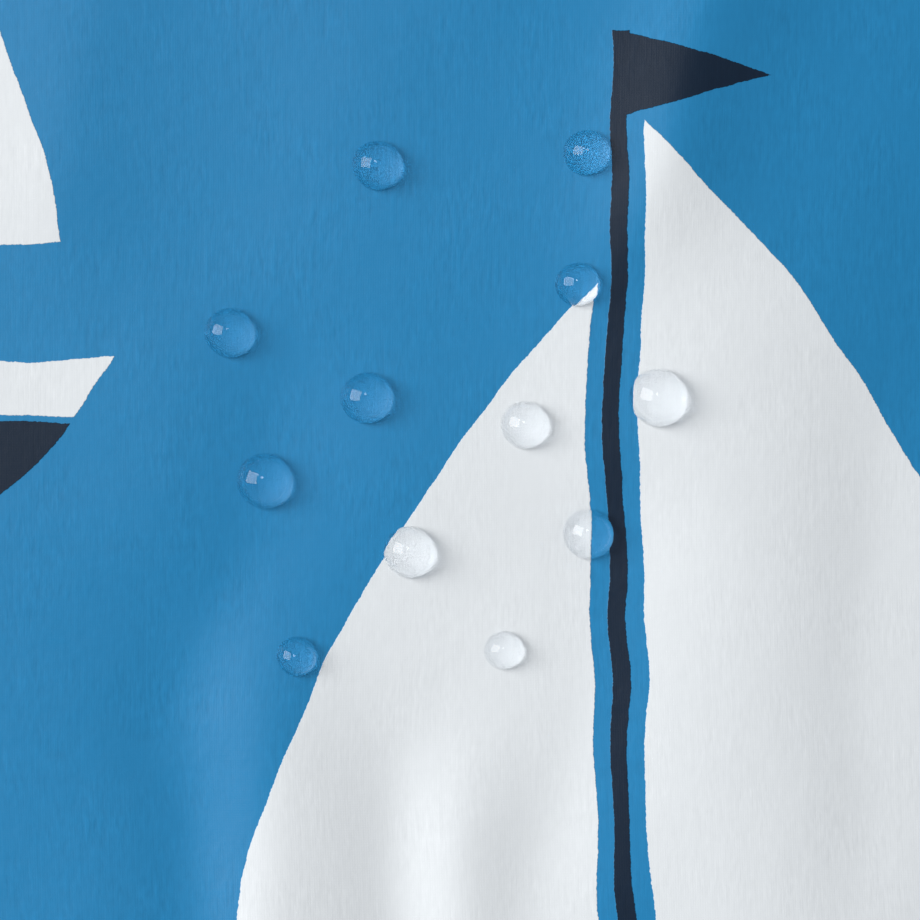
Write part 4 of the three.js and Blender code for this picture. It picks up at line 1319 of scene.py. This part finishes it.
def make_hood(name, side):
    w = np.concatenate(
        [[0, 0.008, 0.025, 0.055, 0.095, 0.145, 0.21, 0.29], np.linspace(0.38, CROWN - 0.3, 112)]
        + [[CROWN - d for d in (0.2, 0.13, 0.08, 0.045, 0.02, 0.006, 0)]]
    )[:, None]
    fold = lerp(SEAM_Z, hood_column("fold", w), smooth(w / 0.6))
    corner = np.stack(hood_top_plan(w, 0 * w), -1)
    square = np.stack(left_of(lambda k: hood_top_plan(k, 0 * k), clamp(w, 0.02, CROWN - 0.02)), -1)
    to_back = unit(np.stack(hood_back_plan(w, 0 * w + 0.75), -1) - corner)
    inwards = unit(lerp(to_back, square, smooth(w)[..., None]))
    # The back, from the centre seam to the fold.
    q = np.concatenate([[0, 0.002, 0.006, 0.014, 0.028], np.linspace(0.05, 0.985, 34), [0.998, 1]])[None]
    centre = np.stack(hood_back_plan(w, 0 * w), -1)
    to_fold = 1 - fold / np.linalg.norm(corner - centre, axis=-1)
    start = corner + inwards * fold[..., None]
    slip = start - np.stack(hood_back_plan(w, to_fold), -1)
    back = np.stack(hood_back_plan(w + 0 * q, q * to_fold), -1) + slip * (q**3)[..., None]
    back = np.concatenate([back, np.zeros(back.shape[:2] + (1,))], -1)
    # Round the fold.
    a = np.radians(np.linspace(-90, 90, 17))[1:-1][None]
    deep = fold * (1 - np.cos(a))
    arc = corner + inwards * deep[..., None]
    arc = np.concatenate([arc, (fold + fold * np.sin(a))[..., None]], -1)
    # The top, from the fold to the rim, its last columns at set distances from the rim.
    rim = np.stack(hood_top_plan(w, 0 * w + 1), -1)
    wide = np.linalg.norm(rim - corner, axis=-1)
    last = np.array(HEM_ROWS[::-1])[None]
    q0 = fold / wide
    net = wide * (1 - q0)
    near = 1 - np.minimum(last / net, 0.92 - last * 0.001)
    far = near[:, :1] * np.linspace(0, 1, 30)[None, :-1]
    qq = np.concatenate([far, near], axis=1)
    top_q = q0 + (1 - q0) * qq
    plan = np.stack(hood_top_plan(w + 0 * qq, top_q), -1)
    slip = start - np.stack(hood_top_plan(w, q0), -1)
    plan = plan + slip * ((1 - qq) ** 3)[..., None]
    v = lerp(SHOULDER, FRONT_NECK, top_q)
    own = lerp(2 * fold, hood_column("rim_z", w), smooth(qq)) + 1.5 * np.sin(math.pi * qq)
    z = lerp(neck_edge(v, side), own, smooth(w / 1.5))
    z = z + (2 * fold - z[:, :1]) * np.exp(-qq * wide / 5) * (1 - qq)
    x, y = side * plan[..., 0], plan[..., 1]
    calm = smooth(qq * wide / 12) * smooth(w / 0.5) * smooth((CROWN - w) / 1.2)
    z = z + (relief(x, y) + 0.5 * noise(x, y, 30, 61)) * calm
    from_rim = (1 - qq) * net
    z = z + hem_relief(from_rim, y * 1.1, 63) * smooth((40 - from_rim) / 12) * smooth(w / 0.4) * smooth((CROWN - w) / 0.4)
    step = np.linalg.norm(np.diff(plan, axis=0), axis=-1)
    from_neck = np.concatenate([0 * step[:1], np.cumsum(step, 0)])
    z = z - 0.8 * groove(from_neck, 1.3) * neck_share(v) + 0.2 * pucker(x * 1.3, 33) * groove(from_neck - 2, 5) * neck_share(v)
    z = z - 0.7 * groove((CROWN - w) * 30, 1.6)
    top = np.concatenate([plan, z[..., None]], -1)
    points = np.concatenate([back, arc, top], axis=1)
    points[..., 0] = side * np.maximum(points[..., 0], 0.06)
    normals = normals_of(points, -side)
    # The print runs on round the fold, and the back carries it on as seen from under it.
    first, last = back.shape[1] - 1, back.shape[1] + arc.shape[1]
    uv = points[..., :2].copy()
    out = -inwards * np.array([side, 1])
    round_fold = np.concatenate([a[:, :1] - math.pi / 16, a], axis=1)
    uv[:, first:last] = uv[:, [last]] + out * (fold * (math.pi / 2 - round_fold))[..., None]
    uv[:, :first, 0] = side * HOOD_UNROLLED - points[:, :first, 0]
    uv = uv + np.array(PRINT_AT[name])
    rows = HEM_ROWS.index(15.5) + 1
    inside = (w[:, 0] > 0.15) & (w[:, 0] < CROWN - 0.1)
    stitch(name, points[inside, -rows], normals[inside, -rows])
    turned = [k.transpose(1, 0, 2)[::-1] for k in (points, normals, uv)]
    all_points, all_normals, all_uv, added = turn_in(*turned, HEM_ROWS.index(17.2))
    all_points[..., 0] = side * np.maximum(side * all_points[..., 0], 0.06)
    keep = np.ones((all_points.shape[0] - 1, all_points.shape[1] - 1), bool)
    layer = (w[:, 0] > 0.12) & (w[:, 0] < CROWN - 0.1)
    keep[:added] &= (layer[1:] & layer[:-1])[None]
    inner = all_points - all_normals * THICK
    inner[..., 0] = side * np.maximum(side * inner[..., 0], 0.06)
    piece = cloth_piece(name + "_cloth", all_points, all_normals, all_uv, keep, inner=inner, flip=side > 0)
    finish_piece(piece, name)
    return declare(piece)


# ---------------------------------------------------------------- the press studs
STUD_PROFILE = [
    (0, 3.2),
    (1.5, 3.18),
    (2.8, 3.1),
    (3.9, 2.96),
    (4.8, 2.76),
    (5.35, 2.56),
    (5.6, 2.42),
    (5.74, 2.3),
    (5.9, 2.27),
    (6.06, 2.33),
    (6.3, 2.36),
    (6.6, 2.22),
    (6.86, 1.88),
    (7.0, 1.4),
    (6.97, 0.9),
    (6.8, 0.45),
    (6.5, 0.12),
    (6.3, 0),
    (6.3, -0.95),
]


def make_stud(i):
    low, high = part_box("press_stud_%d" % i)
    centre = (low + high) / 2
    around = 56
    turn = np.linspace(0, 2 * math.pi, around, endpoint=False)
    rings = STUD_PROFILE[1:]
    points = [np.array([[0, 0, STUD_PROFILE[0][1]]])]
    for r, z in rings:
        points.append(np.stack([r * np.cos(turn), r * np.sin(turn), z + 0 * turn], -1))
    points.append(np.array([[0, 0, rings[-1][1]]]))
    points = np.concatenate(points) / 1000 + np.array([centre.x, centre.y, low.z])
    ring = lambda r, c: 1 + r * around + c % around
    tris = []
    for c in range(around):
        tris.append([0, ring(0, c), ring(0, c + 1)])
        for r in range(len(rings) - 1):
            tris.append([ring(r, c), ring(r + 1, c), ring(r + 1, c + 1)])
            tris.append([ring(r, c), ring(r + 1, c + 1), ring(r, c + 1)])
        tris.append([ring(len(rings) - 1, c), len(points) - 1, ring(len(rings) - 1, c + 1)])
    stud = build_object("press_stud_%d_cap" % i, points, np.array(tris), slots=(STUD_PAINT,), sharp=1.0)
    return finish_piece(stud, "press_stud_%d" % i, slot="press_stud")


make_back()
make_band()
make_sleeve("sleeve_right", -1)
make_sleeve("sleeve_left", 1)
make_hood("hood_right", -1)
make_hood("hood_left", 1)
for number in range(1, STUD_COUNT + 1):
    make_stud(number)

# ---------------------------------------------------------------- close
for piece_name, runs in STITCHES.items():
    thing = stitch_mesh("stitches_" + piece_name, runs)
    finish_piece(thing)
